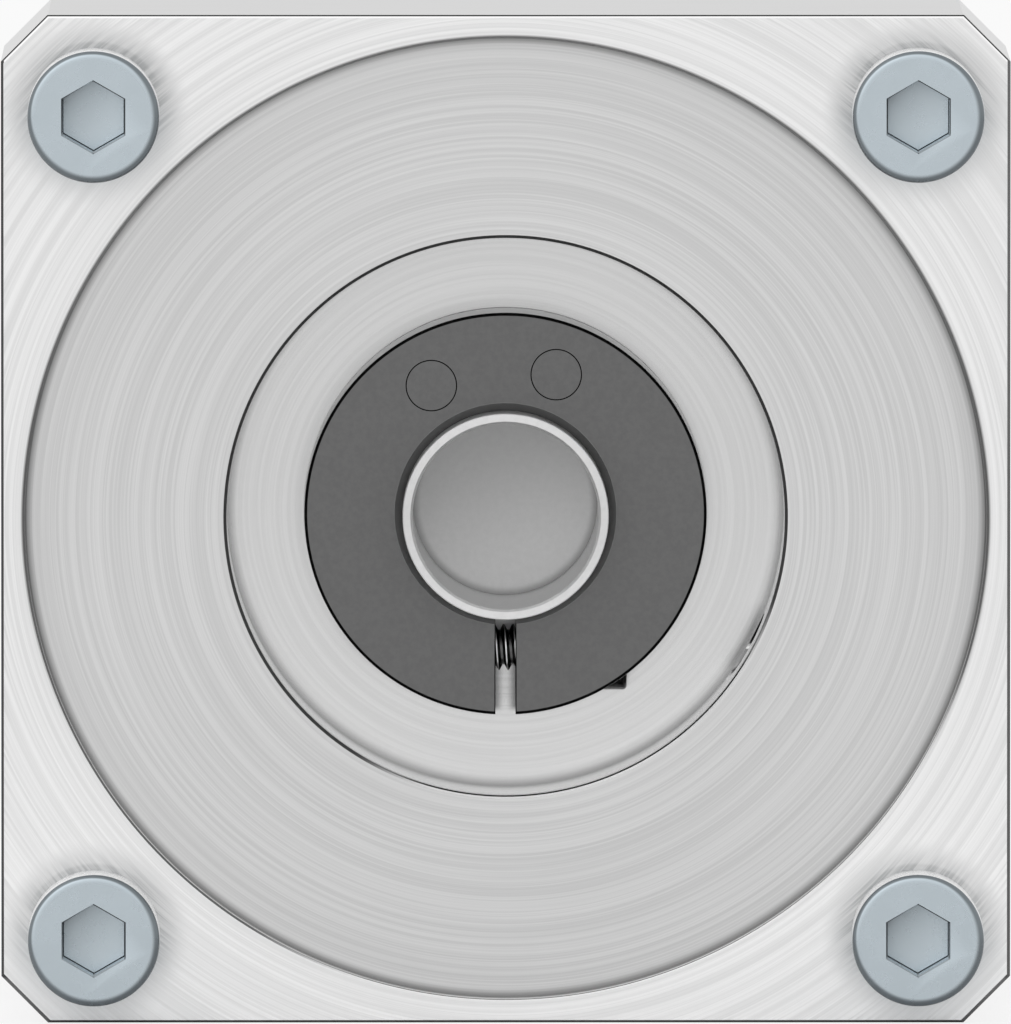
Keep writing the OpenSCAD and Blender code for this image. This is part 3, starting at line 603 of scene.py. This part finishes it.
def motor_adapter():
    low = Vector((-half_width, 0, -half_width))
    high = Vector((half_width, joint_y, half_width))
    adapter = chamfered_block("adapter_block", low, high, CORNER_CHAMFER)
    spigot_r = ring_inner_r - 0.05 * MM
    spigot = turned(
        "spigot",
        [(12 * MM, joint_y - MM), (spigot_r, joint_y - MM), (spigot_r, adapter_high.y), (12 * MM, adapter_high.y)],
    )
    combine(adapter, spigot, "UNION")
    seat_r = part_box("input_bearing_outer_ring")[1].x + 0.01 * MM
    seat_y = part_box("input_seal")[0].y - 0.01 * MM
    web_r = 9.2 * MM
    tool = turned(
        "bore_tool",
        [
            (0, -MM),
            (pilot_r, -MM),
            (pilot_r, pilot_y),
            (CHAMBER_R, pilot_y),
            (CHAMBER_R, chamber_y),
            (web_r, chamber_y),
            (web_r, seat_y),
            (seat_r, seat_y),
            (seat_r, adapter_high.y + MM),
            (0, adapter_high.y + MM),
        ],
    )
    cut(adapter, tool)
    adapter.data.materials.append(turned_aluminium)
    adapter.data.materials.append(adapter_edge)
    adapter.data.materials.append(milled_aluminium)
    for face in adapter.data.polygons:
        face.material_index = 2 if on_outline(face.center, half_width) else 0

    def broken(middle, start, end):
        flat = abs(start.y - end.y) < 0.01 * MM
        ends = abs(middle.y) < 0.01 * MM or abs(middle.y - joint_y) < 0.01 * MM
        return flat and ((ends and on_outline(middle, half_width)) or on_rim(middle, CHAMBER_R, pilot_y))

    print("broken edges:", break_chosen(adapter, broken, BROKEN_EDGE))
    break_chosen(adapter, lambda middle, start, end: on_rim(middle, pilot_r, 0), PILOT_EDGE)
    for place_x, place_z in SCREW_PLACES:
        cut(adapter, round_tool(SCREW_R + 0.15 * MM, (place_x, -MM, place_z), (place_x, joint_y + MM, place_z)))
    cut(adapter, round_tool(KEY_HOLE_R, (CHAMBER_R * 0.7, bolt_y, bolt_z), (half_width + MM, bolt_y, bolt_z)))
    smooth(adapter)
    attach(adapter, "housing")
    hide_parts("motor_adapter")
    return adapter


adapter = motor_adapter()
print("adapter:", len(adapter.data.polygons), "faces")

# %% [markdown]
# The corner screws are zinc-plated socket-head cap screws. The head is turned with a rounded rim, a
# six-sided tool cuts the socket, and one screw is copied to the four corners.

# %% Finish of zinc-plated screws

HEAD_H = -screws_low.y
RIM = 0.42 * MM


def zinc_finish():
    finish = Finish("blue_zinc", roughness=0.3)
    # Painted light on the head: a painted highlight ring inside the rim above, the rounded rim painted dark, the
    # side painted bright as a painted highlight, and the socket's floor painted from dark to bright as painted
    # shade.
    across, up, distance = from_screw(finish)
    height = up / distance.larger(MM)
    cloud = finish.noise(finish.place, 420.0, 4.0)
    tone = cloud.over(0.3, 0.7, 0.60, 0.62)
    front = finish.y.over(-HEAD_H + RIM, -HEAD_H + 0.9 * RIM)
    rim_highlight_band = distance.over(head_r - 0.58 * MM, head_r - 0.36 * MM) * height.over(-0.1, 0.75) * front
    tone = tone.toward(0.72, rim_highlight_band * 0.35)
    lit_side = height * 0.85 - across / distance.larger(MM) * 0.5
    rim_start = lit_side.over(-0.5, 0.95, head_r - 0.56 * MM, head_r - 0.26 * MM)
    rim = (distance - rim_start).over(0.0, lit_side.over(-0.6, 0.9, 0.34 * MM, 0.10 * MM)) * front
    tone = tone.toward(lit_side.over(-0.9, 0.0, 0.20, 0.23), rim)
    side = distance.over(head_r - 0.03 * MM, head_r - 0.01 * MM) * height.over(-0.5, 0.3)
    tone = tone.toward(0.97, side)
    depth = finish.y.over(-HEAD_H + 0.1 * MM, -HEAD_H + 0.4 * MM) * distance.over(2.5 * MM, 2.4 * MM)
    socket_shade_slope = ((across - up) / (6 * MM) + 0.5).larger(0.0).root()
    tone = tone.toward(socket_shade_slope * 0.44 + 0.25, depth)
    finish.feed("Base Color", finish.tinted(tone, finish.mix(side, grey(1.0, ZINC), grey(1.0))))
    finish.feed("Roughness", cloud * 0.14 + 0.2 + rim_highlight_band * 0.25)
    grooves = finish.noise(finish.vector(0.0, finish.y * 9000.0, 0.0), 1.0, 1.0)
    finish.bump(grooves, 0.05 * MM)
    return finish.material


def zinc_edge_finish():
    """Edges of the socket, painted: a faint painted highlight at the front of its two lower sides, painted dark
    elsewhere.
    """
    finish = Finish("zinc_edge", roughness=0.3)
    across, up, distance = from_screw(finish)
    front = finish.y.over(-HEAD_H + 0.5 * MM, -HEAD_H + 0.3 * MM)
    lower = up.over(-0.9 * MM, -1.3 * MM)
    tone = (front * lower).over(0.0, 1.0, 0.09, 0.33)
    finish.feed("Base Color", finish.tinted(tone, ZINC))
    return finish.material


blue_zinc = zinc_finish()
screw_edge = zinc_edge_finish()

# %% The corner screws


def cap_screw(name, head_r, head_h, rim, key, shank_r, length, steps=128):
    """A socket-head cap screw along +Y with the underside of its head at y = 0."""
    tip = shank_r * 0.25
    section = [(0, -head_h), (head_r - rim - 0.03 * MM, -head_h)]
    section += arc((head_r - rim, rim - head_h), rim, -90, 0)
    section += [(head_r, -0.1 * MM), (head_r - 0.1 * MM, 0), (shank_r, 0), (shank_r, length - tip)]
    section += [(shank_r - tip, length), (0, length)]
    screw = turned(name, section, steps)
    depth = head_h * 0.55
    bpy.ops.object.select_all(action="DESELECT")
    bpy.ops.mesh.primitive_cylinder_add(
        vertices=6, radius=key / math.sqrt(3), depth=2 * depth, location=(0, 0, 0)
    )
    tool = bpy.context.object
    tool.rotation_euler = (math.radians(90), 0, 0)
    tool.location = (0, -head_h, 0)
    bpy.ops.object.transform_apply(location=True, rotation=True, scale=True)
    cut(screw, tool)
    flat_r = head_r - rim - 0.05 * MM
    select_edges(screw, lambda middle, start, end: math.hypot(middle.x, middle.z) < flat_r)
    bpy.ops.mesh.dissolve_limited(angle_limit=math.radians(0.5))
    leave_edit()
    return screw


def copy_to(piece, name, offset):
    """A copy with its own mesh, moved by the offset in its vertices."""
    bpy.ops.object.select_all(action="DESELECT")
    piece.select_set(True)
    bpy.context.view_layer.objects.active = piece
    bpy.ops.object.duplicate(linked=False)
    made = bpy.context.object
    made.name = name
    made.location = offset
    bpy.ops.object.transform_apply(location=True, rotation=True, scale=True)
    return made


def corner_screws():
    first = cap_screw("screw_master", head_r, HEAD_H, RIM, 4 * MM, SCREW_R, screws_high.y)
    first.data.materials.append(blue_zinc)
    first.data.materials.append(screw_edge)
    break_edges(first, width=0.065 * MM, angle=50)
    smooth(first)
    for number, (place_x, place_z) in enumerate(SCREW_PLACES, 1):
        screw = copy_to(first, f"corner_screw_{number}", (place_x, 0, place_z))
        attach(screw, "housing")
        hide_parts("adapter_screws")
    bpy.data.objects.remove(first)


corner_screws()

# %% [markdown]
# The clamp ring is a split steel collar, phosphated dark grey. Its slit is at the bottom, its screw lies
# across the slit in a counterbore, and two plugs fill the balancing holes drilled in its face.

# %% Finish of the clamp ring, its screw and its plugs

THREAD_R = 1.5 * MM

def clamp_finish():
    finish = Finish("phosphated_steel", roughness=0.4)
    grain = finish.noise(finish.place, 2600.0, 4.0)
    tone = grain.over(0.3, 0.7, 0.150, 0.166)
    # painted light: the outer rim painted black as a painted reflection, the outer side painted bright as a painted
    # highlight, and the mouth of the bore painted lighter
    rim = finish.radius.over(clamp_r - 0.22 * MM, clamp_r - 0.17 * MM)
    tone = tone.toward(0.008, rim)
    side = finish.radius.over(clamp_r - 0.02 * MM, clamp_r - 0.01 * MM)
    tone = tone.toward(0.62, side)
    mouth = finish.radius.over(7.20 * MM, 7.15 * MM) * finish.y.over(clamp_low.y + 0.6 * MM, clamp_low.y + 0.5 * MM)
    tone = tone.toward(0.25, mouth)
    finish.feed("Base Color", tone)
    finish.feed("Roughness", grain * 0.1 + 0.34)
    return finish.material


def black_finish():
    finish = Finish("black_oxide", metallic=1.0, roughness=0.3)
    grain = finish.noise(finish.place, 1500.0)
    tone = grain.over(0.3, 0.7, 0.02, 0.035)
    out_y, out_z = finish.y - bolt_y, finish.z - bolt_z
    crest = (out_y * out_y + out_z * out_z).root()
    # painted light in the slit: the thread painted lighter where it faces forward and its crests painted bright as
    # a painted highlight; a faint lighter line painted near the head's end
    in_slit = finish.x.size().over(1.5 * MM, 1.0 * MM) * out_y.over(0.4 * MM, 0.0)
    lit = (out_z + 0.35 * MM).size().over(1.2 * MM, 0.1 * MM)
    tone = tone.toward(0.17, in_slit * lit)
    crest_highlight = crest.over(THREAD_R - 0.03 * MM, THREAD_R - 0.01 * MM)
    tone = tone.toward(0.95, in_slit * crest_highlight * lit.over(0.0, 0.4, 0.3, 1.0))
    head_rim = finish.x.over(bolt_high.x - 0.26 * MM, bolt_high.x - 0.2 * MM)
    tone = tone.toward(0.07, head_rim * finish.x.over(bolt_high.x - 0.06 * MM, bolt_high.x - 0.12 * MM))
    finish.feed("Base Color", tone)
    finish.feed("Roughness", grain * 0.15 + 0.24)
    return finish.material


phosphated = clamp_finish()
black_oxide = black_finish()
clamp_edge = edge_finish("clamp_edge", 0.012)

# %% The clamp ring, its screw and its plugs

PLUG_R = 1.6 * MM
PLUG_CIRCLE_R = 9.575 * MM
PLUG_ANGLES = (70, 120)
bolt_head_r = (bolt_high.z - bolt_low.z) / 2
BOLT_HEAD_H = 3 * MM
bolt_seat_x = bolt_high.x - BOLT_HEAD_H


def clamp_ring():
    bore_r = 6.66 * MM
    bore_chamfer = 0.5 * MM
    front, back = clamp_low.y, clamp_high.y
    ring = turned(
        "clamp_collar",
        [
            (bore_r + bore_chamfer, front),
            (clamp_r - BROKEN_EDGE, front),
            (clamp_r, front + BROKEN_EDGE),
            (clamp_r, back - BROKEN_EDGE),
            (clamp_r - BROKEN_EDGE, back),
            (bore_r + bore_chamfer, back),
            (bore_r, back - bore_chamfer),
            (bore_r, front + bore_chamfer),
        ],
    )
    cut(ring, box_tool((-SLIT / 2, front - MM, -clamp_r - MM), (SLIT / 2, back + MM, 0)))
    cut(ring, round_tool(1.55 * MM, (-clamp_r, bolt_y, bolt_z), (clamp_r, bolt_y, bolt_z)))
    cut(ring, round_tool(bolt_head_r + 0.06 * MM, (bolt_seat_x, bolt_y, bolt_z), (clamp_r, bolt_y, bolt_z)))
    for degrees in PLUG_ANGLES:
        start = on_circle(PLUG_CIRCLE_R, degrees, front - MM)
        cut(ring, round_tool(PLUG_R, start, on_circle(PLUG_CIRCLE_R, degrees, plugs_high.y), 96))
    ring.data.materials.append(phosphated)
    ring.data.materials.append(clamp_edge)

    def broken(middle, start, end):
        flat = abs(start.y - front) + abs(end.y - front) < 0.01 * MM
        near_plug = any(
            abs((middle - on_circle(PLUG_CIRCLE_R, degrees, front)).length - PLUG_R) < 0.01 * MM
            for degrees in PLUG_ANGLES
        )
        return flat and (near_plug or (abs(abs(middle.x) - SLIT / 2) < 0.01 * MM and middle.z < 0))

    break_chosen(ring, broken, 0.065 * MM)
    smooth(ring)
    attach(ring, "input_shaft")
    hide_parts("clamp_ring")


def move_mesh(piece, offset):
    bpy.ops.object.select_all(action="DESELECT")
    piece.select_set(True)
    bpy.context.view_layer.objects.active = piece
    piece.location = offset
    bpy.ops.object.transform_apply(location=True, rotation=True, scale=True)
    return piece


def balance_plugs():
    for number, degrees in enumerate(PLUG_ANGLES, 1):
        section = [(0, plugs_low.y), (PLUG_R - 0.01 * MM, plugs_low.y), (PLUG_R - 0.01 * MM, plugs_high.y)]
        plug = turned(f"balance_plug_{number}", section + [(0, plugs_high.y)], 96)
        plug = move_mesh(plug, on_circle(PLUG_CIRCLE_R, degrees, 0))
        plug.data.materials.append(phosphated)
        smooth(plug)
        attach(plug, "input_shaft")
        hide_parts("balance_plugs")


clamp_ring()
balance_plugs()

# %% [markdown]
# The clamp screw crosses the slit, so its thread shows there. A zigzag one pitch long is swept along a
# helix by the Screw modifier, which is how a thread is cut; the head is turned like the larger ones.

# %% The clamp screw


def thread(name, radius, pitch, turns, steps=48):
    """A threaded bar along +Y from y = 0, with closed ends: flat crests and roots, as a real one has."""
    root = radius - pitch * 0.61
    corners = [(root, 0), (root, 0.125), (radius, 0.4375), (radius, 0.5625), (root, 0.875), (root, 1.0)]
    bpy.ops.object.select_all(action="DESELECT")
    bpy.ops.mesh.primitive_circle_add(vertices=len(corners), radius=MM)
    bar = bpy.context.object
    bar.name = name
    for point, (out, share) in zip(bar.data.vertices, corners):
        point.co = (out, share * pitch, 0)
    select_edges(bar, lambda middle, start, end: abs(start.y - end.y) > 0.9 * pitch)
    bpy.ops.mesh.delete(type="EDGE")
    leave_edit()
    apply_modifier(
        bar,
        "SCREW",
        axis="Y",
        screw_offset=pitch,
        iterations=turns,
        steps=steps,
        render_steps=steps,
        use_merge_vertices=True,
        merge_threshold=1e-7,
    )
    edit(bar)
    bpy.ops.mesh.remove_doubles(threshold=1e-7)
    bpy.ops.mesh.fill_holes(sides=0)
    bpy.ops.mesh.select_all(action="SELECT")
    bpy.ops.mesh.normals_make_consistent(inside=False)
    leave_edit()
    return bar


def clamp_screw():
    pitch = 0.6 * MM
    length = bolt_seat_x - bolt_low.x
    head = cap_screw("clamp_bolt", bolt_head_r, BOLT_HEAD_H, 0.25 * MM, 2.5 * MM, 1.1 * MM, length * 0.4, 96)
    bar = thread("thread", THREAD_R, pitch, int(length / pitch) - 1)
    join(head, bar)
    head.rotation_euler = (0, 0, math.radians(90))
    bpy.ops.object.transform_apply(location=True, rotation=True, scale=True)
    move_mesh(head, (bolt_seat_x, bolt_y, bolt_z))
    head.data.materials.append(black_oxide)
    smooth(head, 25)
    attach(head, "input_shaft")
    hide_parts("clamp_screw")
    print("clamp screw:", len(head.data.polygons), "faces")


clamp_screw()

# %% [markdown]
# The input shaft shows only its thin bright sleeve and the floor of its bore, but the whole of it is made:
# the journal, the two eccentrics half a turn apart and the rear journal.

# %% Finish of the input shaft

SLEEVE_R = 6.65 * MM
BORE_FLOOR_Y = 19.1 * MM

def shaft_finish():
    finish = Finish("ground_steel", roughness=0.28)
    grain = finish.noise(finish.place, 2200.0, 4.0)
    front = shaft_low.y
    floor_y = BORE_FLOOR_Y
    bored = finish.radius.over(shaft_bore_r + 0.149 * MM, shaft_bore_r + 0.13 * MM)
    bored = bored * finish.y.over(24 * MM, 23 * MM)
    on_floor = bored * finish.y.over(floor_y - 0.3 * MM, floor_y - 0.05 * MM)
    # painted light: the sleeve is painted lighter towards its top and bottom, with a painted highlight on its outer
    # front edge
    edge = finish.radius.over(SLEEVE_R - 0.055 * MM, SLEEVE_R - 0.045 * MM) * finish.y.over(front + MM, front)
    tone = finish.z.size().over(0.0, SLEEVE_R, 0.70, 0.77).toward(0.71, bored).toward(0.95, edge)
    # painted shade: the bore's floor is painted darker at the top than towards the lower right, and darker still
    # next to its wall
    floor_shade_tone = (finish.z - finish.x * 0.35).over(5.5 * MM, -6 * MM, 0.355, 0.545)
    tone = tone.toward(floor_shade_tone, on_floor)
    corner = finish.radius.over(shaft_bore_r - 0.6 * MM, shaft_bore_r) * on_floor
    tone = tone.toward(0.1, corner * 0.55)
    tone = tone * grain.over(0.3, 0.7, 0.97, 1.03)
    finish.feed("Base Color", tone)
    finish.feed("Roughness", grain * 0.1 + 0.25)
    return finish.material


ground_steel = shaft_finish()

# %% The input shaft


def input_shaft():
    front = shaft_low.y
    journal_r = 8.5 * MM
    step = chamber_y + MM
    disc_a, disc_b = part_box("cycloid_disc_a"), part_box("cycloid_disc_b")
    waist_r = 5.1 * MM
    shoulder_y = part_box("input_bearing_inner_ring")[1].y + 0.01 * MM
    shaft = turned(
        "input_sleeve",
        [
            (0, BORE_FLOOR_Y),
            (shaft_bore_r, BORE_FLOOR_Y),
            (shaft_bore_r, front + 0.15 * MM),
            (shaft_bore_r + 0.15 * MM, front),
            (SLEEVE_R - 0.05 * MM, front),
            (SLEEVE_R, front + 0.05 * MM),
            (SLEEVE_R, step),
            (journal_r - 0.3 * MM, step),
            (journal_r, step + 0.3 * MM),
            (journal_r, shoulder_y),
            (9.6 * MM, shoulder_y),
            (9.6 * MM, disc_a[0].y - 0.03 * MM),
            (waist_r, disc_a[0].y - 0.03 * MM),
            (waist_r, disc_b[1].y),
            (6 * MM, disc_b[1].y + 0.3 * MM),
            (6 * MM, shaft_high.y - 0.3 * MM),
            (5.7 * MM, shaft_high.y),
            (0, shaft_high.y),
        ],
    )
    for low, high, offset in ((disc_a[0].y, disc_a[1].y, MM), (disc_b[0].y, disc_b[1].y, -MM)):
        cam_r = 6.4 * MM
        cam = turned("cam", [(waist_r - 2 * MM, low), (cam_r, low), (cam_r, high), (waist_r - 2 * MM, high)], 128)
        join(shaft, move_mesh(cam, (0, 0, offset)))
    shaft.data.materials.append(ground_steel)
    smooth(shaft)
    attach(shaft, "input_shaft")
    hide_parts("eccentric_shaft")


input_shaft()

# %% [markdown]
# Behind the adapter are the ring housing, with its own square flange, and the output housing. They are
# turned from steel and finely faced; the rear face has tapped holes and a pilot boss.

# %% Finish of the housings


def housing_finish():
    finish = Finish("turned_steel", roughness=0.36)
    guard = finish.radius + 0.05 * MM
    marks = turning_marks(finish, lines_per_mm=8.0)
    tool_path = finish.noise(
        finish.vector(finish.y * 7000.0, finish.x.math("DIVIDE", guard), finish.z.math("DIVIDE", guard)), 1.0
    )
    tone = finish.mix(marks, grey(0.50), grey(0.60))
    tone = finish.mix(tool_path.over(0.45, 0.8, 0.0, 0.5), tone, grey(0.46))
    finish.feed("Base Color", tone)
    finish.feed("Roughness", tool_path * 0.2 + 0.27)
    finish.bump(tool_path, 0.004 * MM, 0.5)
    return finish.material


turned_steel = housing_finish()
housing_edge = edge_finish("housing_edge", 0.3)

# %% The ring housing and the output housing

BARREL_R = barrel_high.x
SMALL_EDGE = 0.12 * MM


def drill(piece, place, hole_r, depth):
    """Drills a hole forward from a rear face; the drill's own flare breaks the hole's mouth."""
    mouth = 0.3 * MM
    section = [(0, -depth), (hole_r, -depth), (hole_r, -mouth), (hole_r + 2 * mouth, mouth), (0, mouth)]
    tool = turned("drill", section, steps=64)
    tool.location = place
    bpy.ops.object.transform_apply(location=True, rotation=True, scale=True)
    cut(piece, tool)


def ring_housing():
    half = ring_high.x
    flange_y = ring_low.y + 8 * MM
    low, high = Vector((-half, joint_y, -half)), Vector((half, flange_y, half))
    case = chamfered_block("ring_case", low, high, CORNER_CHAMFER)
    case.data.materials.append(turned_steel)
    case.data.materials.append(housing_edge)
    break_chosen(
        case,
        lambda middle, start, end: abs(start.y - end.y) < 0.01 * MM and on_outline(middle, half),
        SMALL_EDGE,
    )
    front, back = joint_y + MM, ring_high.y
    section = [(10 * MM, front), (BARREL_R, front), (BARREL_R, back - SMALL_EDGE)]
    section += [(BARREL_R - SMALL_EDGE, back), (10 * MM, back)]
    combine(case, turned("ring_barrel", section), "UNION")
    front, back = joint_y - MM, ring_high.y + MM
    cut(case, turned("bore", [(0, front), (ring_inner_r, front), (ring_inner_r, back), (0, back)]))
    for place_x, place_z in SCREW_PLACES:
        drill(case, Vector((place_x, flange_y, place_z)), SCREW_R + 0.01 * MM, 9 * MM)
    finish_piece(case, "housing", "ring_housing")


def output_housing():
    rear_y = mounts["housing_face"]["pos_m"][1]
    boss_r = mount_radius("housing_pilot")
    bore_r = seal_high.x + 0.01 * MM
    case = turned(
        "output_case",
        [
            (bore_r, barrel_low.y + 6 * MM),
            (22.4 * MM, barrel_low.y + 5.5 * MM),
            (22.4 * MM, barrel_low.y),
            (BARREL_R - SMALL_EDGE, barrel_low.y),
            (BARREL_R, barrel_low.y + SMALL_EDGE),
            (BARREL_R, rear_y - MM),
            (BARREL_R - MM, rear_y),
            (boss_r, rear_y),
            (boss_r, barrel_high.y - 0.3 * MM),
            (boss_r - 0.3 * MM, barrel_high.y),
            (bore_r + 0.3 * MM, barrel_high.y),
            (bore_r, barrel_high.y - 0.3 * MM),
        ],
    )
    case.data.materials.append(turned_steel)
    pitch_r = mount_radius("housing_bolts", "pcd_mm") / 2
    hole_r = mount_radius("housing_bolts", "hole_r_mm")
    for degrees in (45, 135, 225, 315):
        drill(case, on_circle(pitch_r, degrees, rear_y), hole_r, 12 * MM)
    finish_piece(case, "housing", "output_housing")


def finish_piece(piece, body, node):
    """Smooths a piece and places it in the frame."""
    smooth(piece)
    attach(piece, body)
    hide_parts(node)
    print(piece.name, len(piece.data.polygons), "faces")


ring_housing()
output_housing()

# %% [markdown]
# The output carrier ends in the face that the driven link bolts to: six tapped holes round a pilot bore.
# A rubber lip seal closes the gap between it and the housing.

# %% The output carrier and its seal


def output_carrier():
    face_y = carrier_high.y
    neck_r = 15 * MM
    pilot_r_out = mount_radius("output_pilot")
    carrier = turned(
        "output_flange",
        [
            (8.5 * MM, 48 * MM),
            (8.5 * MM, 46 * MM),
            (10.5 * MM, 46 * MM),
            (10.5 * MM, carrier_low.y),
            (carrier_high.x, carrier_low.y),
            (carrier_high.x, carrier_low.y + 5 * MM),
            (16.5 * MM, carrier_low.y + 5 * MM),
            (16.5 * MM, carrier_low.y + 6.5 * MM),
            (neck_r, carrier_low.y + 6.5 * MM),
            (neck_r, face_y - 0.5 * MM),
            (neck_r - 0.5 * MM, face_y),
            (pilot_r_out + 0.2 * MM, face_y),
            (pilot_r_out, face_y - 0.2 * MM),
            (pilot_r_out, face_y - 5 * MM),
            (0, face_y - 5 * MM),
            (0, 48 * MM),
        ],
    )
    carrier.data.materials.append(turned_steel)
    pitch_r = mount_radius("output_bolts", "pcd_mm") / 2
    hole_r = mount_radius("output_bolts", "hole_r_mm")
    for degrees in range(0, 360, 60):
        drill(carrier, on_circle(pitch_r, degrees, face_y), hole_r, 10 * MM)
    finish_piece(carrier, "output", "output_carrier")


def rubber_finish():
    finish = Finish("nitrile_rubber", metallic=0.0, roughness=0.55)
    grain = finish.noise(finish.place, 1800.0)
    finish.feed("Base Color", finish.mix(grain, grey(0.012), grey(0.028)))
    finish.bump(grain, 0.01 * MM, 0.4)
    return finish.material


nitrile = rubber_finish()


def output_seal():
    outer, inner = seal_high.x, 15.03 * MM
    back = seal_high.y
    front = seal_low.y
    seal = turned(
        "output_lip_seal",
        [
            (outer, front),
            (outer, back),
            (outer - 1.2 * MM, back),
            (outer - 1.6 * MM, back - 0.5 * MM),
            (inner + 2.2 * MM, back - 0.5 * MM),
            (inner + 1.4 * MM, back - 0.1 * MM),
            (inner + 0.5 * MM, back - 0.1 * MM),
            (inner, back - 0.6 * MM),
            (inner + 0.4 * MM, back - 1.4 * MM),
            (inner + 1.4 * MM, back - 1.6 * MM),
            (outer - 1 * MM, back - 1.6 * MM),
            (outer - 1 * MM, front),
        ],
    )
    seal.data.materials.append(nitrile)
    smooth(seal)
    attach(seal, "housing")
    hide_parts("output_seal")


output_carrier()
output_seal()

# %% [markdown]
# Everything else is sealed inside: bearings, rollers, pins and discs. Their CAD shapes are right as they
# are, so each only gets its material.

# %% Finishes of the inner pieces


def polished_finish(name, tone, roughness, scale):
    finish = Finish(name, roughness=roughness)
    grain = finish.noise(finish.place, scale)
    finish.feed("Base Color", finish.mix(grain, grey(tone * 0.93), grey(tone * 1.05)))
    finish.feed("Roughness", grain * 0.1 + roughness)
    return finish.material


def brass_finish():
    finish = Finish("cage_brass", roughness=0.32)
    grain = finish.noise(finish.place, 900.0)
    finish.feed("Base Color", finish.mix(grain, (0.62, 0.44, 0.17, 1), (0.75, 0.55, 0.24, 1)))
    return finish.material


def paint_inner_nodes():
    bearing = polished_finish("bearing_steel", 0.62, 0.16, 700.0)
    disc = polished_finish("ground_disc_steel", 0.48, 0.28, 2400.0)
    brass = brass_finish()
    by_slot = {
        "bearing_steel": bearing,
        "disc_steel": disc,
        "cage_brass": brass,
        "black_steel": black_oxide,
        "seal_rubber": nitrile,
        "clamp_steel": phosphated,
        "zinc_steel": blue_zinc,
        "shaft_steel": ground_steel,
        "housing_metal": turned_steel,
        "carrier_steel": turned_steel,
        "adapter_aluminium": turned_aluminium,
    }
    slots = {row["node"]: row["material_slot"] for row in frame["record"]["subparts"]}
    for name, piece in frame["nodes"].items():
        piece.data.materials.clear()
        piece.data.materials.append(by_slot[slots[name]])
    print("painted", len(slots), "nodes")


paint_inner_nodes()

# %% [markdown]
# The studio: a pale floor, a white surround and one large soft lamp from the upper left. The surround is
# white to the camera and in reflections, and a little weaker as a light, so that greys stay as written.

# %% Floor, light and world


def studio():
    low = cad_box[0]
    bpy.ops.object.select_all(action="DESELECT")
    bpy.ops.mesh.primitive_plane_add(size=6, location=(0, 0, low.z - 0.02 * MM))
    floor = bpy.context.object
    floor.name = "floor"
    floor_finish = Finish("pale_floor", metallic=0.0, roughness=0.9)
    floor_finish.shader.inputs["Base Color"].default_value = grey(0.86)
    tree = floor_finish.tree
    seen = floor_finish.node("ShaderNodeLightPath", {}, output="Is Camera Ray")
    glow = tree.nodes.new("ShaderNodeEmission")
    blend = tree.nodes.new("ShaderNodeMixShader")
    output = tree.nodes["Material Output"]
    tree.links.new((seen * 0.8).socket, blend.inputs[0])
    tree.links.new(floor_finish.shader.outputs[0], blend.inputs[1])
    tree.links.new(glow.outputs[0], blend.inputs[2])
    tree.links.new(blend.outputs[0], output.inputs["Surface"])
    floor.data.materials.append(floor_finish.material)


def surround(light_level=0.86, seen_level=1.0):
    world = bpy.data.worlds.new("surround")
    bpy.context.scene.world = world
    world.use_nodes = True
    tree = world.node_tree
    background = tree.nodes["Background"]
    path = tree.nodes.new("ShaderNodeLightPath")
    camera_or_glossy = tree.nodes.new("ShaderNodeMath")
    camera_or_glossy.operation = "MAXIMUM"
    tree.links.new(path.outputs["Is Camera Ray"], camera_or_glossy.inputs[0])
    tree.links.new(path.outputs["Is Glossy Ray"], camera_or_glossy.inputs[1])
    level = tree.nodes.new("ShaderNodeMapRange")
    level.inputs["To Min"].default_value = light_level
    level.inputs["To Max"].default_value = seen_level
    tree.links.new(camera_or_glossy.outputs[0], level.inputs["Value"])
    tree.links.new(level.outputs[0], background.inputs["Strength"])
    background.inputs["Color"].default_value = (1, 1, 1, 1)


def soft_lamp(name, place, size, power):
    data = bpy.data.lights.new(name, "AREA")
    data.size = size
    data.energy = power
    lamp = bpy.data.objects.new(name, data)
    bpy.context.scene.collection.objects.link(lamp)
    lamp.location = place
    lamp.rotation_mode = "QUATERNION"
    lamp.rotation_quaternion = (-Vector(place)).to_track_quat("-Z", "Y")


studio()
surround()
soft_lamp("key", (-0.55, -0.6, 0.75), 0.5, 1.2)

# %% [markdown]
# The camera looks almost straight along the axis from far away, a little above it, as a product camera
# with a long lens does. The lens follows from the distance and from how much of the scene fills the frame.

# %% Camera

CAMERA_DISTANCE = 2.58
CAMERA_ELEVATION = 3.3
CAMERA_AZIMUTH = -0.15
FRAME_HEIGHT = 65.95 * MM
SENSOR = 36.0
AIM = Vector((-0.016 * MM, 0, 0.465 * MM))


def photo_camera():
    azimuth, elevation = math.radians(CAMERA_AZIMUTH), math.radians(CAMERA_ELEVATION)
    back = Vector(
        (
            math.sin(azimuth) * math.cos(elevation),
            -math.cos(azimuth) * math.cos(elevation),
            math.sin(elevation),
        )
    )
    data = bpy.data.cameras.new("camera")
    data.sensor_width = SENSOR
    data.lens = SENSOR * CAMERA_DISTANCE / FRAME_HEIGHT
    data.clip_end = 20
    camera = bpy.data.objects.new("camera", data)
    bpy.context.scene.collection.objects.link(camera)
    camera.location = AIM + back * CAMERA_DISTANCE
    camera.rotation_mode = "QUATERNION"
    camera.rotation_quaternion = (-back).to_track_quat("-Z", "Y")
    bpy.context.scene.camera = camera
    print("lens", round(data.lens), "mm")


photo_camera()
bpy.context.scene.view_settings.view_transform = "Standard"
